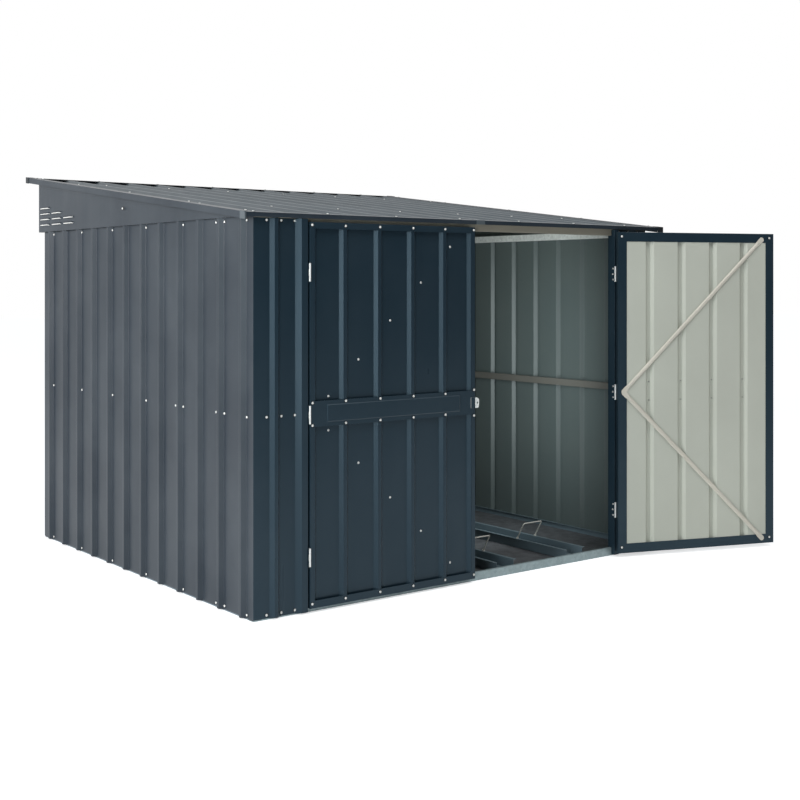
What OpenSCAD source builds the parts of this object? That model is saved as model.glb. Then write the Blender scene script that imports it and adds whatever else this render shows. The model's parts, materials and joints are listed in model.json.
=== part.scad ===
// Sheet-steel bike shed with a single-slope roof, high at the back.
// X runs along the front, Y to the back, Z up. The origin is on the ground,
// under the middle of the front sill.

/* [Shed] */
// Width over the side walls, measured on the flat strips between ribs
shed_w = 2213; // [1900:1:3000]
// Depth from the front panels to the back wall
shed_d = 2062; // [1500:1:2800]
// Height of the wall sheets
wall_h = 1555; // [1350:1:2000]
// Slope of the roof in degrees, rising to the back
roof_slope = 7.02; // [4:0.01:10]

/* [Sheets] */
// Thickness of the folded sheets and rails
sheet_t = 1.6; // [1:0.1:2]
// Distance from rib to rib
rib_pitch = 172; // [120:1:240]
// Width of a rib's flat crest
rib_crest = 16; // [8:1:30]
// Run of a rib's sloping side
rib_flank = 14; // [8:1:24]
// Depth of the wall ribs
wall_rib_d = 17; // [10:1:19]
// Depth of the roof ribs
roof_rib_d = 13; // [10:1:20]
// Middle of the first side wall rib, from the front
first_rib = 73; // [40:1:120]
// Gap from the ground to the lower edge of the sheets
sheet_lift = 6; // [3:1:12]

/* [Base and rails] */
// Height of the base rails
base_h = 38; // [30:1:60]
// Width of the base rails' foot
base_w = 40; // [30:1:60]
// Width of the base rails' upper lip
base_lip = 12; // [6:1:20]
// Thickness of the floor panel
floor_t = 8; // [4:1:16]
// Height of the wall rails
rail_h = 34; // [24:1:50]
// Depth of the wall rails
rail_d = 20; // [12:1:30]
// Middle of the mid rails above the ground
mid_rail_z = 780; // [600:1:1000]
// Gap where two rails meet in a corner
rail_gap = 0.3; // [0.2:0.1:1]
// Height of the lintel over the doors
lintel_h = 33; // [30:1:50]

/* [Front] */
// Width of each corner panel, up to the edge that carries the hinges
corner_w = 237.5; // [200:0.5:400]
// Middle of the corner panel's rib, from the corner
corner_rib = 94; // [60:1:140]
// Width of the box-shaped jamb's face
jamb_face = 29; // [20:1:50]
// Run of the jamb's sloping side
jamb_flank = 20; // [10:1:30]
// Depth of the jamb in front of the panel
jamb_d = 20; // [12:1:20]
// Depth of the post behind the jamb
post_d = 22; // [22:1:50]

/* [Roof] */
// Overhang of the roof at the front
roof_front = 22; // [22:1:80]
// Overhang of the roof at the back
roof_back = 120; // [90:1:250]
// Overhang of the roof at the left side
roof_left = 51; // [40:1:110]
// Overhang of the roof at the right side
roof_right = 102; // [40:1:110]
// Middle of the first roof rib, from the roof's left edge
first_roof_rib = 49; // [40:1:50]
// Height of the side and back trims
trim_h = 27; // [24:1:36]
// Height of the front trim
front_trim_h = 18; // [18:1:30]
// Width of the side trims' upper flange, which lies on the first rib
trim_flange = 58; // [56:1:70]
// Width of the front and back trims' upper flange
end_flange = 34; // [24:1:60]
// Thickness of the corner caps
cap_t = 2; // [1:0.5:4]
// Reach of the corner caps along each edge
cap_reach = 34; // [25:1:50]
// Depth of the beam under the roof sheets
beam_h = 42; // [30:1:60]

/* [Gables] */
// Distance of the gable panels' face in front of the side walls
gable_out = 19; // [19:0.5:24]
// Reach of the gable panels behind the back wall
gable_back = 31; // [22:1:60]
// Distance of the louvres from the back wall
louvre_edge = 8; // [5:1:40]
// Height of the lowest louvres above the wall sheets
louvre_low = 35; // [25:1:60]
// Length of a louvre
louvre_l = 103; // [60:1:120]
// Height of a louvre's slot
louvre_h = 7; // [4:1:12]
// Distance from louvre to louvre along the wall
louvre_pitch_y = 147; // [125:1:200]
// Distance from louvre to louvre up the wall
louvre_pitch_z = 28; // [20:1:40]
// Louvres in the tallest column
louvre_rows = 4; // [1:1:5]

/* [Doors] */
// Angle at which the right door stands open
right_door_open = 160.8; // [0:0.1:170]
// Gap from the ground to the doors
door_lift = 18; // [7:1:24]
// Gap between the two closed doors
door_gap = 17; // [10:1:30]
// Gap between a jamb and its door, where the hinge sits
hinge_gap = 7; // [7:1:14]
// Gap between a closed door and the sill behind it
door_back_gap = 5; // [5:1:10]
// Gap between the doors and the roof's front trim
door_top_gap = 13; // [5:1:20]
// Depth of the door ribs
door_rib_d = 15; // [10:1:20]
// Distance from the outer door ribs to the sheet's edges, at least
door_rib_edge = 100; // [70:1:110]
// Width of the frame's outer lip at the hinges
lip_hinge = 22; // [15:1:40]
// Width of the frame's outer lip at the free edge
lip_free = 22; // [15:1:40]
// Height of the frame's upper outer lip
lip_top = 26; // [20:1:50]
// Height of the frame's lower outer lip
lip_bottom = 30; // [20:1:50]
// Width of the frame's inner lips
lip_inner = 45; // [30:1:60]
// Lower edge of the band across the door
band_z = 731; // [500:1:900]
// Height of the band
band_h = 102; // [60:1:140]
// Margin round the band's raised panel
emboss_margin = 19; // [10:1:25]
// Depth of the band's raised panel
emboss_d = 3; // [1:0.5:3.5]
// Width of the diagonal braces
brace_w = 19; // [12:1:30]

/* [Hinges] */
// Height of a hinge
hinge_h = 72; // [50:1:100]
// Radius of a hinge's knuckle
knuckle_r = 3.7; // [3.6:0.1:4]
// Radius of a hinge's pin
pin_r = 1.8; // [1:0.1:2]
// Running clearance round the pin
pin_clear = 0.08; // [0.05:0.01:0.1]
// Width of a hinge's leaf behind the knuckle
leaf_w = 18; // [8:1:18]
// Distance from hinge to hinge
hinge_pitch = 559; // [300:1:620]
// Radius of the padlock hole
padlock_r = 4.5; // [3:0.5:6]

/* [Wheel racks] */
// Number of wheel channels
rack_count = 4; // [1:1:4]
// Distance from channel to channel
rack_pitch = 437; // [300:1:500]
// Shift of the row of channels from the middle
rack_shift = 0; // [-60:1:60]
// Outer width of a channel
rack_w = 104; // [70:1:140]
// Width of the lips along a channel's upper edges
rack_lip = 14; // [12:1:20]
// Height of a channel
rack_h = 46; // [30:1:60]
// Distance from the front of the shed to the channels
rack_front = 34; // [20:1:60]
// Length of a channel
rack_l = 1000; // [600:1:1300]
// Thickness of a channel's sheet
rack_t = 2; // [1:0.5:3]
// Radius of the hoops' wire
wire_r = 3; // [2.5:0.5:3.5]
// Height of the hoops above the channel
hoop_h = 82; // [50:1:120]
// Forward lean of the hoops
hoop_lean = 46; // [0:1:80]
// Distance of the hoops from the channels' front end
hoop_front = 214; // [100:1:400]
// Stagger of every second hoop, so that handlebars pass each other
hoop_stagger = 113; // [0:1:200]

/* [Hidden] */
$fn = 32;

anthracite = "#2a363f";
roof_grey = "#5d666c";
cap_black = "#1d2226";
galvanised = "#b4c0c3";
floor_grey = "#4a4c50";
rack_grey = "#3a484f";
zinc = "#d5d8d8";

t = sheet_t;
half_w = shed_w / 2;
slope_rise = tan(roof_slope);
slope_cos = cos(roof_slope);
rib_half = rib_crest / 2 + rib_flank;
// The origin lies in the middle of the sill's foot
front_y = -(t + base_w / 2);
floor_top = t + floor_t;
// Play between the sloping seats and what lies on them
seat_gap = 0.2;
lintel_z = wall_h - lintel_h;
// Rail, base and post faces start behind the sheets
inside_w = shed_w - 2 * t;
post_w = jamb_face + jamb_flank / 2;

// Height of the roof sheets' underside, and of the trims' top, at a distance from the front
function under_z(y) = wall_h + y * slope_rise;
function top_z(y) = under_z(y) + (roof_rib_d + 2 * t + seat_gap) / slope_cos;

// The roof lies off the middle of the walls when its two overhangs differ
roof_mid = (roof_right - roof_left) / 2;
roof_y0 = -roof_front;
roof_y1 = shed_d + roof_back;
roof_half = half_w + (roof_left + roof_right) / 2;

// Door, in a frame whose origin is on the hinge axis
door_y_in = -door_back_gap + t;
door_y_out = door_y_in - 3 * t - door_rib_d - t;
pivot_y = door_y_out - knuckle_r + 0.2;
pivot_x = half_w - corner_w - hinge_gap / 2;
door_x0 = hinge_gap / 2;
door_x1 = pivot_x - door_gap / 2;
door_w = door_x1 - door_x0;
door_z0 = door_lift;
door_z1 = top_z(roof_y0) - front_trim_h - door_top_gap;
// Faces of the door from the outside in, from the hinge axis
face_lip = door_y_out - pivot_y;
face_crest = face_lip + t;
face_pan = face_crest + door_rib_d;
face_inner_lip = face_pan + t;
face_brace = face_inner_lip + t;
face_back = face_brace + t;

// Evenly spaced rib middles, centred in a length
function rib_count(length, margin) = floor((length - 2 * (margin + rib_half)) / rib_pitch) + 1;
function centred_ribs(length, margin) =
    let (n = rib_count(length, margin))
    [for (k = [0 : n - 1]) length / 2 + (k - (n - 1) / 2) * rib_pitch];

// Outline of a rib that rises by depth, towards negative y
function rib_points(middle, depth) = [
    [middle - rib_half, 0], [middle - rib_crest / 2, -depth],
    [middle + rib_crest / 2, -depth], [middle + rib_half, 0]
];

// Closes a line of points into a sheet of thickness t
function thicken(line) = concat(line, [for (i = [len(line) - 1 : -1 : 0]) line[i] + [0, t]]);

// Cross-section of a ribbed sheet that starts and ends flat
function ribbed_line(x0, x1, middles, depth) =
    concat([[x0, 0]], [for (m = middles) each rib_points(m, depth)], [[x1, 0]]);

// Cross-section of a ribbed sheet whose edges stand on half ribs
function edged_line(x0, x1, edge0, edge1, middles, depth) = concat(
    edge0 > 0 ? [[x0, -depth], [x0 + edge0, -depth], [x0 + edge0 + rib_flank, 0]] : [[x0, 0]],
    [for (m = middles) each rib_points(m, depth)],
    edge1 > 0 ? [[x1 - edge1 - rib_flank, 0], [x1 - edge1, -depth], [x1, -depth]] : [[x1, 0]]
);

module in_place() {
    translate([0, front_y, 0]) children();
}

// Extrudes a (y, z) outline along x, or an (x, z) outline along y
module along_x(x0, x1) {
    translate([x0, 0, 0]) rotate([90, 0, 90]) linear_extrude(x1 - x0) children();
}

module along_y(y0, y1) {
    translate([0, y1, 0]) rotate([90, 0, 0]) linear_extrude(y1 - y0) children();
}

module left_side() {
    mirror([1, 0, 0]) children();
}

// Channel of thickness t, open on the low or high side of one axis
module channel(corner, size, length_axis, open_axis, open_low) {
    hollow = [for (i = [0 : 2]) i == length_axis ? size[i] + 2 : size[i] - (i == open_axis ? t - 1 : 2 * t)];
    shift = [for (i = [0 : 2]) i == length_axis || (i == open_axis && open_low) ? -1 : t];
    translate(corner) difference() {
        cube(size);
        translate(shift) cube(hollow);
    }
}

// ---- Base ----

module base_profile() {
    polygon([
        [0, 0], [base_w, 0], [base_w, t], [t, t],
        [t, base_h - t], [base_lip, base_h - t], [base_lip, base_h], [0, base_h]
    ]);
}

module front_sill() {
    color(galvanised) in_place()
        translate([0, t, 0]) along_x(-inside_w / 2, inside_w / 2) base_profile();
}

module back_base_rail() {
    color(anthracite) in_place()
        translate([0, shed_d - t, 0]) mirror([0, 1, 0])
            along_x(-inside_w / 2, inside_w / 2) base_profile();
}

// Side rails run between the front and back rails
module side_base_rail() {
    color(anthracite) in_place()
        translate([inside_w / 2, 0, 0]) mirror([1, 0, 0])
            along_y(t + base_w, shed_d - t - base_w) base_profile();
}

module right_base_rail() {
    side_base_rail();
}

module left_base_rail() {
    left_side() side_base_rail();
}

module floor_panel() {
    edge = 2 * t;
    color(floor_grey) in_place()
        translate([-half_w + edge, edge, t]) cube([shed_w - 2 * edge, shed_d - 2 * edge, floor_t]);
}

// ---- Walls ----

module right_wall() {
    n = floor((shed_d - first_rib - 2 * rib_half) / rib_pitch) + 1;
    middles = [for (k = [0 : n - 1]) first_rib + k * rib_pitch];
    color(anthracite) in_place()
        translate([half_w, 0, sheet_lift]) rotate([0, 0, 90]) linear_extrude(wall_h - sheet_lift)
            polygon(thicken(ribbed_line(t, shed_d - t, middles, wall_rib_d)));
}

module left_wall() {
    left_side() right_wall();
}

module back_wall() {
    color(anthracite) in_place()
        translate([half_w, shed_d, sheet_lift]) rotate([0, 0, 180])
            linear_extrude(wall_h - sheet_lift)
                polygon(thicken(ribbed_line(0, shed_w, centred_ribs(shed_w, base_w), wall_rib_d)));
}

// The corner panel ends in a box-shaped jamb
module right_corner_panel() {
    line = concat(
        [[0, 0]], rib_points(corner_rib, wall_rib_d),
        [[corner_w - jamb_face - jamb_flank, 0], [corner_w - jamb_face, -jamb_d], [corner_w, -jamb_d]]
    );
    color(anthracite) in_place()
        translate([half_w, 0, sheet_lift]) mirror([1, 0, 0])
            linear_extrude(under_z(-jamb_d) - 3 - sheet_lift) {
                polygon(thicken(line));
                translate([corner_w - t, -jamb_d]) square([t, jamb_d]);
            }
}

module left_corner_panel() {
    left_side() right_corner_panel();
}

module right_jamb_post() {
    color(anthracite) in_place()
        channel([half_w - corner_w, 0, base_h], [post_w, post_d, lintel_z - base_h], 2, 0, false);
}

module left_jamb_post() {
    left_side() right_jamb_post();
}

// ---- Gables ----

// Places its children at each louvre, in columns that get shorter towards the front
module at_louvres() {
    for (column = [0 : louvre_rows - 2])
        for (row = [0 : louvre_rows - 1 - column])
            translate([0, shed_d - louvre_edge - louvre_l - column * louvre_pitch_y,
                wall_h + louvre_low + row * louvre_pitch_z])
                children();
}

module louvre_slot() {
    translate([-t, 0, -louvre_h / 2]) cube([3 * t, louvre_l, louvre_h]);
}

// Blade that leans out over its slot
module louvre_blade() {
    blade_out = 6;
    along_y(0, louvre_l)
        polygon([
            [0, louvre_h / 2], [blade_out, -louvre_h / 2], [blade_out + t, -louvre_h / 2],
            [t, louvre_h / 2 + t], [0, louvre_h / 2 + t]
        ]);
}

module right_gable() {
    y0 = 3 * base_w;
    y1 = shed_d + gable_back;
    face_x = half_w + gable_out;
    lip = 20;
    color(anthracite) in_place() {
        difference() {
            along_x(face_x - t, face_x)
                polygon([[y0, wall_h], [y1, wall_h], [y1, under_z(y1)], [y0, under_z(y0)]]);
            translate([face_x - t, 0, 0]) at_louvres() louvre_slot();
        }
        translate([face_x - t, 0, 0]) at_louvres() louvre_blade();
        // Foot over the wall's edge
        translate([half_w - t - rail_d, y0, wall_h])
            cube([gable_out + t + rail_d - t / 2, shed_d - t - rail_d - y0, t]);
        // Folded back edge
        translate([face_x - lip, y1 - t, wall_h]) cube([lip, t, under_z(y1) - wall_h - 2 * t]);
    }
}

module left_gable() {
    left_side() right_gable();
}

module back_upper_panel() {
    face_y = shed_d + gable_out;
    inner_half = half_w + gable_out - t;
    color(anthracite) in_place() {
        translate([-inner_half, face_y - t, wall_h])
            cube([2 * inner_half, t, under_z(face_y - t) - wall_h]);
        translate([-inside_w / 2, shed_d - t - rail_d, wall_h])
            cube([inside_w, gable_out + rail_d, t]);
    }
}

// ---- Rails ----

// Runs along a side wall, from the front to just before the back rail
module side_rail(z, y0) {
    channel([half_w - t - rail_d, y0, z], [rail_d, shed_d - t - rail_d - rail_gap - y0, rail_h],
        1, 0, false);
}

module back_rail(z) {
    channel([-inside_w / 2, shed_d - t - rail_d, z], [inside_w, rail_d, rail_h], 0, 1, false);
}

// Short rail between the jamb post and the side rail
module corner_rail(z) {
    x0 = half_w - corner_w + post_w;
    channel([x0, t, z], [half_w - t - rail_d - rail_gap - x0, rail_d, rail_h], 0, 1, true);
}

module mid_rails() {
    z = mid_rail_z - rail_h / 2;
    color(anthracite) in_place() {
        back_rail(z);
        for (side = [0, 1]) mirror([side, 0, 0]) {
            side_rail(z, t);
            corner_rail(z);
        }
    }
}

module top_rails() {
    z = wall_h - rail_h;
    color(galvanised) in_place() {
        back_rail(z);
        for (side = [0, 1]) mirror([side, 0, 0]) side_rail(z, t + rail_d + rail_gap);
    }
}

module lintel() {
    color(galvanised) in_place()
        channel([-inside_w / 2, t, lintel_z], [inside_w, rail_d, lintel_h], 0, 1, false);
}

module roof_beam() {
    y0 = shed_d / 2 - rail_d;
    y1 = shed_d / 2 + rail_d;
    half = half_w + gable_out - t;
    color(galvanised) in_place() along_x(-half, half) difference() {
        polygon([
            [y0, under_z(y0) - beam_h], [y1, under_z(y1) - beam_h],
            [y1, under_z(y1) - seat_gap], [y0, under_z(y0) - seat_gap]
        ]);
        polygon([
            [y0 + t, under_z(y0) - beam_h - 1], [y1 - t, under_z(y1) - beam_h - 1],
            [y1 - t, under_z(y1) - t - seat_gap], [y0 + t, under_z(y0) - t - seat_gap]
        ]);
    }
}

// ---- Roof ----

sheet_half = roof_half - t;
// The right edge stands on half a rib of its own
edge_crest = end_flange - 2 * t;
last_rib_x = sheet_half - edge_crest - rib_flank - rib_half;
roof_ribs = [for (x = first_roof_rib - roof_half; x <= last_rib_x; x = x + rib_pitch) x];
// Sheets meet at the foot of a rib
seams = [for (part = [1 / 3, 2 / 3]) roof_ribs[round(len(roof_ribs) * part)] - rib_half];

module in_roof() {
    translate([roof_mid, front_y, 0]) children();
}

module roof_sheet(x0, x1, edge) {
    line = edged_line(x0, x1, 0, edge, [for (x = roof_ribs) if (x > x0 && x < x1) x], roof_rib_d);
    y0 = (roof_y0 + t + 2.4) / slope_cos;
    y1 = (roof_y1 - t - 0.3) / slope_cos;
    color(roof_grey) in_roof()
        translate([0, 0, wall_h]) rotate([roof_slope, 0, 0]) along_y(y0, y1)
            translate([0, t]) mirror([0, 1]) polygon(thicken(line));
}

module roof_sheet_left() {
    roof_sheet(-sheet_half, seams[0], 0);
}

module roof_sheet_middle() {
    roof_sheet(seams[0], seams[1], 0);
}

module roof_sheet_right() {
    roof_sheet(seams[1], sheet_half, edge_crest);
}

// Plate that follows the roof, between two depths below the trims' top
module sloped_plate(x0, x1, y0, y1, depth0, depth1) {
    along_x(x0, x1)
        polygon([
            [y0, top_z(y0) - depth1], [y1, top_z(y1) - depth1],
            [y1, top_z(y1) - depth0], [y0, top_z(y0) - depth0]
        ]);
}

flange_t = t / slope_cos;

// Angle along a side of the roof, between the front and back trims
module side_trim() {
    y0 = roof_y0 + end_flange;
    y1 = roof_y1 - end_flange;
    sloped_plate(roof_half - t, roof_half, y0, y1, 0, trim_h);
    sloped_plate(roof_half - trim_flange, roof_half, y0, y1, 0, flange_t);
}

module roof_trim_right() {
    color(roof_grey) in_roof() side_trim();
}

module roof_trim_left() {
    color(roof_grey) in_roof() left_side() side_trim();
}

// Angle along the front or back of the roof, with a short return at its outer end
module end_trim(x0, y_face, inward, height) {
    y_in = y_face + inward * end_flange;
    y_low = min(y_face, y_in);
    y_high = max(y_face, y_in);
    sloped_plate(x0, roof_half, y_low, y_high, 0, flange_t);
    sloped_plate(x0, roof_half, min(y_face, y_face + inward * t), max(y_face, y_face + inward * t),
        0, height);
    sloped_plate(roof_half - t, roof_half, y_low, y_high, 0, height);
}

module roof_trim_back() {
    color(roof_grey) in_roof() for (side = [0, 1]) mirror([side, 0, 0])
        end_trim(0, roof_y1, -1, trim_h);
}

// Two lengths, one on each side of the middle
module roof_trim_front() {
    color(anthracite) in_roof() for (side = [0, 1]) mirror([side, 0, 0])
        end_trim(rail_gap, roof_y0, 1, front_trim_h);
}

module roof_joint_cover() {
    cover_half = 24;
    color(roof_grey) in_roof() {
        sloped_plate(-cover_half, cover_half, roof_y0 - t, roof_y0 + end_flange, -t, 0);
        sloped_plate(-cover_half, cover_half, roof_y0 - t, roof_y0, -t, front_trim_h);
    }
}

module corner_cap(y_face, inward) {
    y_out = y_face - inward * cap_t;
    y_in = y_face + inward * cap_reach;
    y_low = min(y_out, y_in);
    y_high = max(y_out, y_in);
    x0 = roof_half - cap_reach;
    x1 = roof_half + cap_t;
    sloped_plate(x0, x1, y_low, y_high, -cap_t, 0);
    sloped_plate(roof_half, x1, y_low, y_high, -cap_t, trim_h + cap_t);
    sloped_plate(x0, x1, min(y_face, y_out), max(y_face, y_out), -cap_t, trim_h + cap_t);
}

module roof_corner_caps() {
    color(cap_black) in_roof() for (side = [0, 1]) mirror([side, 0, 0]) {
        corner_cap(roof_y0, 1);
        corner_cap(roof_y1, -1);
    }
}

// ---- Wheel racks ----

function rack_x(k) = rack_shift + (k - (rack_count - 1) / 2) * rack_pitch;

// Channel with a lip along each upper edge
module channel_outline() {
    half = rack_w / 2;
    difference() {
        union() {
            translate([-half, 0]) square([rack_w, rack_h]);
            translate([-half - rack_lip, rack_h - rack_t]) square([rack_w + 2 * rack_lip, rack_t]);
        }
        translate([-half + rack_t, rack_t]) square([rack_w - 2 * rack_t, rack_h]);
    }
}

module wheel_channels() {
    color(rack_grey) in_place() for (k = [0 : rack_count - 1])
        translate([rack_x(k), 0, floor_top]) along_y(rack_front, rack_front + rack_l) channel_outline();
}

// Bent wire between two feet that are bolted to the channel's lips
module hoop() {
    bend_r = 3 * wire_r;
    foot_t = wire_r + 2;
    leg_x = (rack_w + rack_lip) / 2;
    leg_z = foot_t / 2;
    rise = hoop_h - wire_r - leg_z;
    leg_l = norm([hoop_lean, rise]) - bend_r;
    for (side = [0, 1]) mirror([side, 0, 0]) translate([leg_x, 0, 0])
        cylinder(d = rack_lip - 1, h = foot_t);
    translate([0, 0, leg_z]) rotate([atan2(hoop_lean, rise), 0, 0]) {
        for (side = [0, 1]) mirror([side, 0, 0]) {
            translate([leg_x, 0, 0]) cylinder(r = wire_r, h = leg_l);
            translate([leg_x - bend_r, 0, leg_l]) rotate([90, 0, 0])
                rotate_extrude(angle = 90) translate([bend_r, 0]) circle(r = wire_r);
        }
        translate([0, 0, leg_l + bend_r]) rotate([0, 90, 0])
            cylinder(r = wire_r, h = 2 * (leg_x - bend_r), center = true);
    }
}

module wheel_hoops() {
    color(zinc) in_place() for (k = [0 : rack_count - 1])
        translate([rack_x(k), rack_front + hoop_front + (k % 2) * hoop_stagger, floor_top + rack_h])
            hoop();
}

// ---- Doors ----

// Places a part of the right door, which is drawn closed
module right_door() {
    in_place() translate([pivot_x, pivot_y, 0]) rotate([0, 0, right_door_open]) left_side() children();
}

module left_door() {
    in_place() translate([-pivot_x, pivot_y, 0]) children();
}

module door_frame() {
    height = door_z1 - door_z0;
    depth = face_brace - face_lip;
    color(anthracite) translate([door_x0, face_lip, door_z0]) difference() {
        cube([door_w, depth, height]);
        translate([t, t, t]) cube([door_w - 2 * t, depth - 2 * t, height - 2 * t]);
        translate([lip_hinge, -1, lip_bottom])
            cube([door_w - lip_hinge - lip_free, t + 2, height - lip_bottom - lip_top]);
        translate([lip_inner, depth - t - 1, lip_inner])
            cube([door_w - 2 * lip_inner, t + 2, height - 2 * lip_inner]);
    }
}

door_ribs = centred_ribs(door_w, door_rib_edge);

module door_sheet() {
    line = edged_line(t, door_w - t, lip_hinge - t, lip_free - t, door_ribs, door_rib_d);
    color(anthracite) translate([door_x0, face_pan, door_z0 + t])
        linear_extrude(door_z1 - door_z0 - 2 * t) polygon(thicken(line));
}

// The band starts clear of the hinges' knuckles
module door_band() {
    inset = 2;
    panel_inset = 4 * lip_hinge;
    color(anthracite) translate([door_x0, face_lip, band_z]) {
        translate([inset, -t, 0]) cube([door_w - inset, t, band_h]);
        translate([panel_inset, -t - emboss_d, emboss_margin])
            cube([door_w - 2 * panel_inset, emboss_d, band_h - 2 * emboss_margin]);
    }
}

// Bars from the middle of the hinge side to the corners of the free side
module door_braces() {
    x0 = door_x0 + lip_inner / 2;
    x1 = door_x1 - 1.4 * lip_inner;
    end_in = 0.55 * lip_inner;
    for (up = [-1, 1]) {
        start = [x0, mid_rail_z + up * brace_w];
        run = [x1, up > 0 ? door_z1 - end_in : door_z0 + end_in] - start;
        color(galvanised) translate([start[0], face_brace, start[1]])
            rotate([0, -atan2(run[1], run[0]), 0])
                translate([0, 0, -brace_w / 2]) cube([norm(run), t, brace_w]);
    }
}

// Plate on the band with a forward tab for a padlock
module door_hasp() {
    plate_h = 46;
    plate_w = 26;
    tab_out = 24;
    y_plate = face_lip - 2 * t;
    color(zinc) difference() {
        translate([door_x1, y_plate, mid_rail_z - plate_h / 2]) {
            translate([-plate_w, 0, 0]) cube([plate_w, t, plate_h]);
            translate([-t, t - tab_out, 0]) cube([t, tab_out, plate_h]);
        }
        translate([door_x1 - t / 2, y_plate - tab_out / 2, mid_rail_z]) rotate([0, 90, 0])
            cylinder(r = padlock_r, h = 4 * t, center = true);
    }
}

// ---- Hinges ----

knuckle_h = hinge_h / 3;
hinge_zs = [for (level = [-1 : 1]) mid_rail_z + level * hinge_pitch];

// Leaf whose knuckle turns on the hinge axis; the levels are thirds of its height
module hinge_leaf(side, levels, hole_r) {
    leaf_x = side > 0 ? hinge_gap / 2 - t : -hinge_gap / 2;
    difference() {
        union() {
            translate([leaf_x, knuckle_r + 0.6, -hinge_h / 2]) cube([t, leaf_w, hinge_h]);
            for (level = levels) translate([0, 0, level * knuckle_h - hinge_h / 2 + 0.15]) {
                cylinder(r = knuckle_r, h = knuckle_h - 0.3);
                translate([leaf_x, 0, 0]) cube([t, leaf_w, knuckle_h - 0.3]);
            }
        }
        if (hole_r > 0) cylinder(r = hole_r, h = 2 * hinge_h, center = true);
    }
}

module jamb_hinge() {
    hinge_leaf(-1, [0, 2], 0);
    cylinder(r = pin_r, h = hinge_h - 1, center = true);
}

module left_jamb_hinges() {
    color(zinc) left_door() for (z = hinge_zs) translate([0, 0, z]) jamb_hinge();
}

module right_jamb_hinges() {
    left_side() left_jamb_hinges();
}

module door_hinges() {
    color(zinc) for (z = hinge_zs) translate([0, 0, z]) hinge_leaf(1, [1], pin_r + pin_clear);
}

module left_door_frame() { left_door() door_frame(); }
module left_door_sheet() { left_door() door_sheet(); }
module left_door_band() { left_door() door_band(); }
module left_door_braces() { left_door() door_braces(); }
module left_door_hasp() { left_door() door_hasp(); }
module left_door_hinges() { left_door() door_hinges(); }
module right_door_frame() { right_door() door_frame(); }
module right_door_sheet() { right_door() door_sheet(); }
module right_door_band() { right_door() door_band(); }
module right_door_braces() { right_door() door_braces(); }
module right_door_hasp() { right_door() door_hasp(); }
module right_door_hinges() { right_door() door_hinges(); }

front_sill();
left_base_rail();
right_base_rail();
back_base_rail();
floor_panel();
left_corner_panel();
right_corner_panel();
left_jamb_post();
right_jamb_post();
left_wall();
right_wall();
back_wall();
left_gable();
right_gable();
back_upper_panel();
mid_rails();
top_rails();
lintel();
roof_beam();
roof_sheet_left();
roof_sheet_middle();
roof_sheet_right();
roof_trim_left();
roof_trim_right();
roof_trim_back();
roof_trim_front();
roof_joint_cover();
roof_corner_caps();
wheel_channels();
wheel_hoops();
left_jamb_hinges();
right_jamb_hinges();
left_door_frame();
left_door_sheet();
left_door_band();
left_door_braces();
left_door_hasp();
left_door_hinges();
right_door_frame();
right_door_sheet();
right_door_band();
right_door_braces();
right_door_hasp();
right_door_hinges();
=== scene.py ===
import json
import math

import bmesh
import bpy
from bpy.props import FloatProperty, FloatVectorProperty, PointerProperty
from mathutils import Matrix, Vector

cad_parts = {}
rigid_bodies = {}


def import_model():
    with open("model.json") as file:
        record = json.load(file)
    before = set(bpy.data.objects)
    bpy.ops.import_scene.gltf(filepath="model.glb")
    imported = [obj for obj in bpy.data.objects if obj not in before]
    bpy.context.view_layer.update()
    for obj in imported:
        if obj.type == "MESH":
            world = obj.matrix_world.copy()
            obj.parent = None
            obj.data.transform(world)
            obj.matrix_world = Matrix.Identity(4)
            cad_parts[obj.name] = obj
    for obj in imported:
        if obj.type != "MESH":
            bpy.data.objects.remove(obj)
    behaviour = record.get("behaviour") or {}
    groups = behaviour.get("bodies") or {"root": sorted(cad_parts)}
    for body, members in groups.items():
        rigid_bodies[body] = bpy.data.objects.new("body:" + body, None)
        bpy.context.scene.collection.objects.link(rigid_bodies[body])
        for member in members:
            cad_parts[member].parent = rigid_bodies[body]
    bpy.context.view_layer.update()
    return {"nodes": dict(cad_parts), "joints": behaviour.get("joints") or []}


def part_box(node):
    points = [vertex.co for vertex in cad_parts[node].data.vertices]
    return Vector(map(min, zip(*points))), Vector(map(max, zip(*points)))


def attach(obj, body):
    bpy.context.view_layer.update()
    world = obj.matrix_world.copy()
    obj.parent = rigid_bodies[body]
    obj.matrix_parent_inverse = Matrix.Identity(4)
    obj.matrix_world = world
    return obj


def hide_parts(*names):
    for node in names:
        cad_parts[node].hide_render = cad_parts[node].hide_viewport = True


bl_info = {
    "name": "Bike Shed",
    "version": (1, 0, 0),
    "blender": (4, 5, 0),
    "location": "3D View > Sidebar > Bike Shed",
    "description": "Finishes the frame of a sheet-steel bike shed: folds, screws, hinges and coats",
    "category": "Object",
}

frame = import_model()
NODES = frame["nodes"]
JOINTS = {joint["name"]: joint for joint in frame["joints"]}

MM = 0.001
LEFT, RIGHT, FRONT, BACK, UP = (
    Vector((-1, 0, 0)), Vector((1, 0, 0)), Vector((0, -1, 0)), Vector((0, 1, 0)), Vector((0, 0, 1)),
)
SHED, LEFT_DOOR, RIGHT_DOOR = "shed", "left_door", "right_door"


# ---- Measures taken from the frame ----

LEFT_PIVOT = Vector(JOINTS["left_door_hinge"]["pos_m"])
RIGHT_PIVOT = Vector(JOINTS["right_door_hinge"]["pos_m"])
DOOR_OPENING = math.radians(-JOINTS["right_door_hinge"]["range_deg"][0])
MIRRORED = Matrix.Diagonal((-1, 1, 1, 1))
# The right door is the left one mirrored and swung open about its own hinges
TO_RIGHT_DOOR = (
    Matrix.Translation(RIGHT_PIVOT)
    @ Matrix.Rotation(DOOR_OPENING, 4, "Z")
    @ MIRRORED
    @ Matrix.Translation(-LEFT_PIVOT)
)

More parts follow.
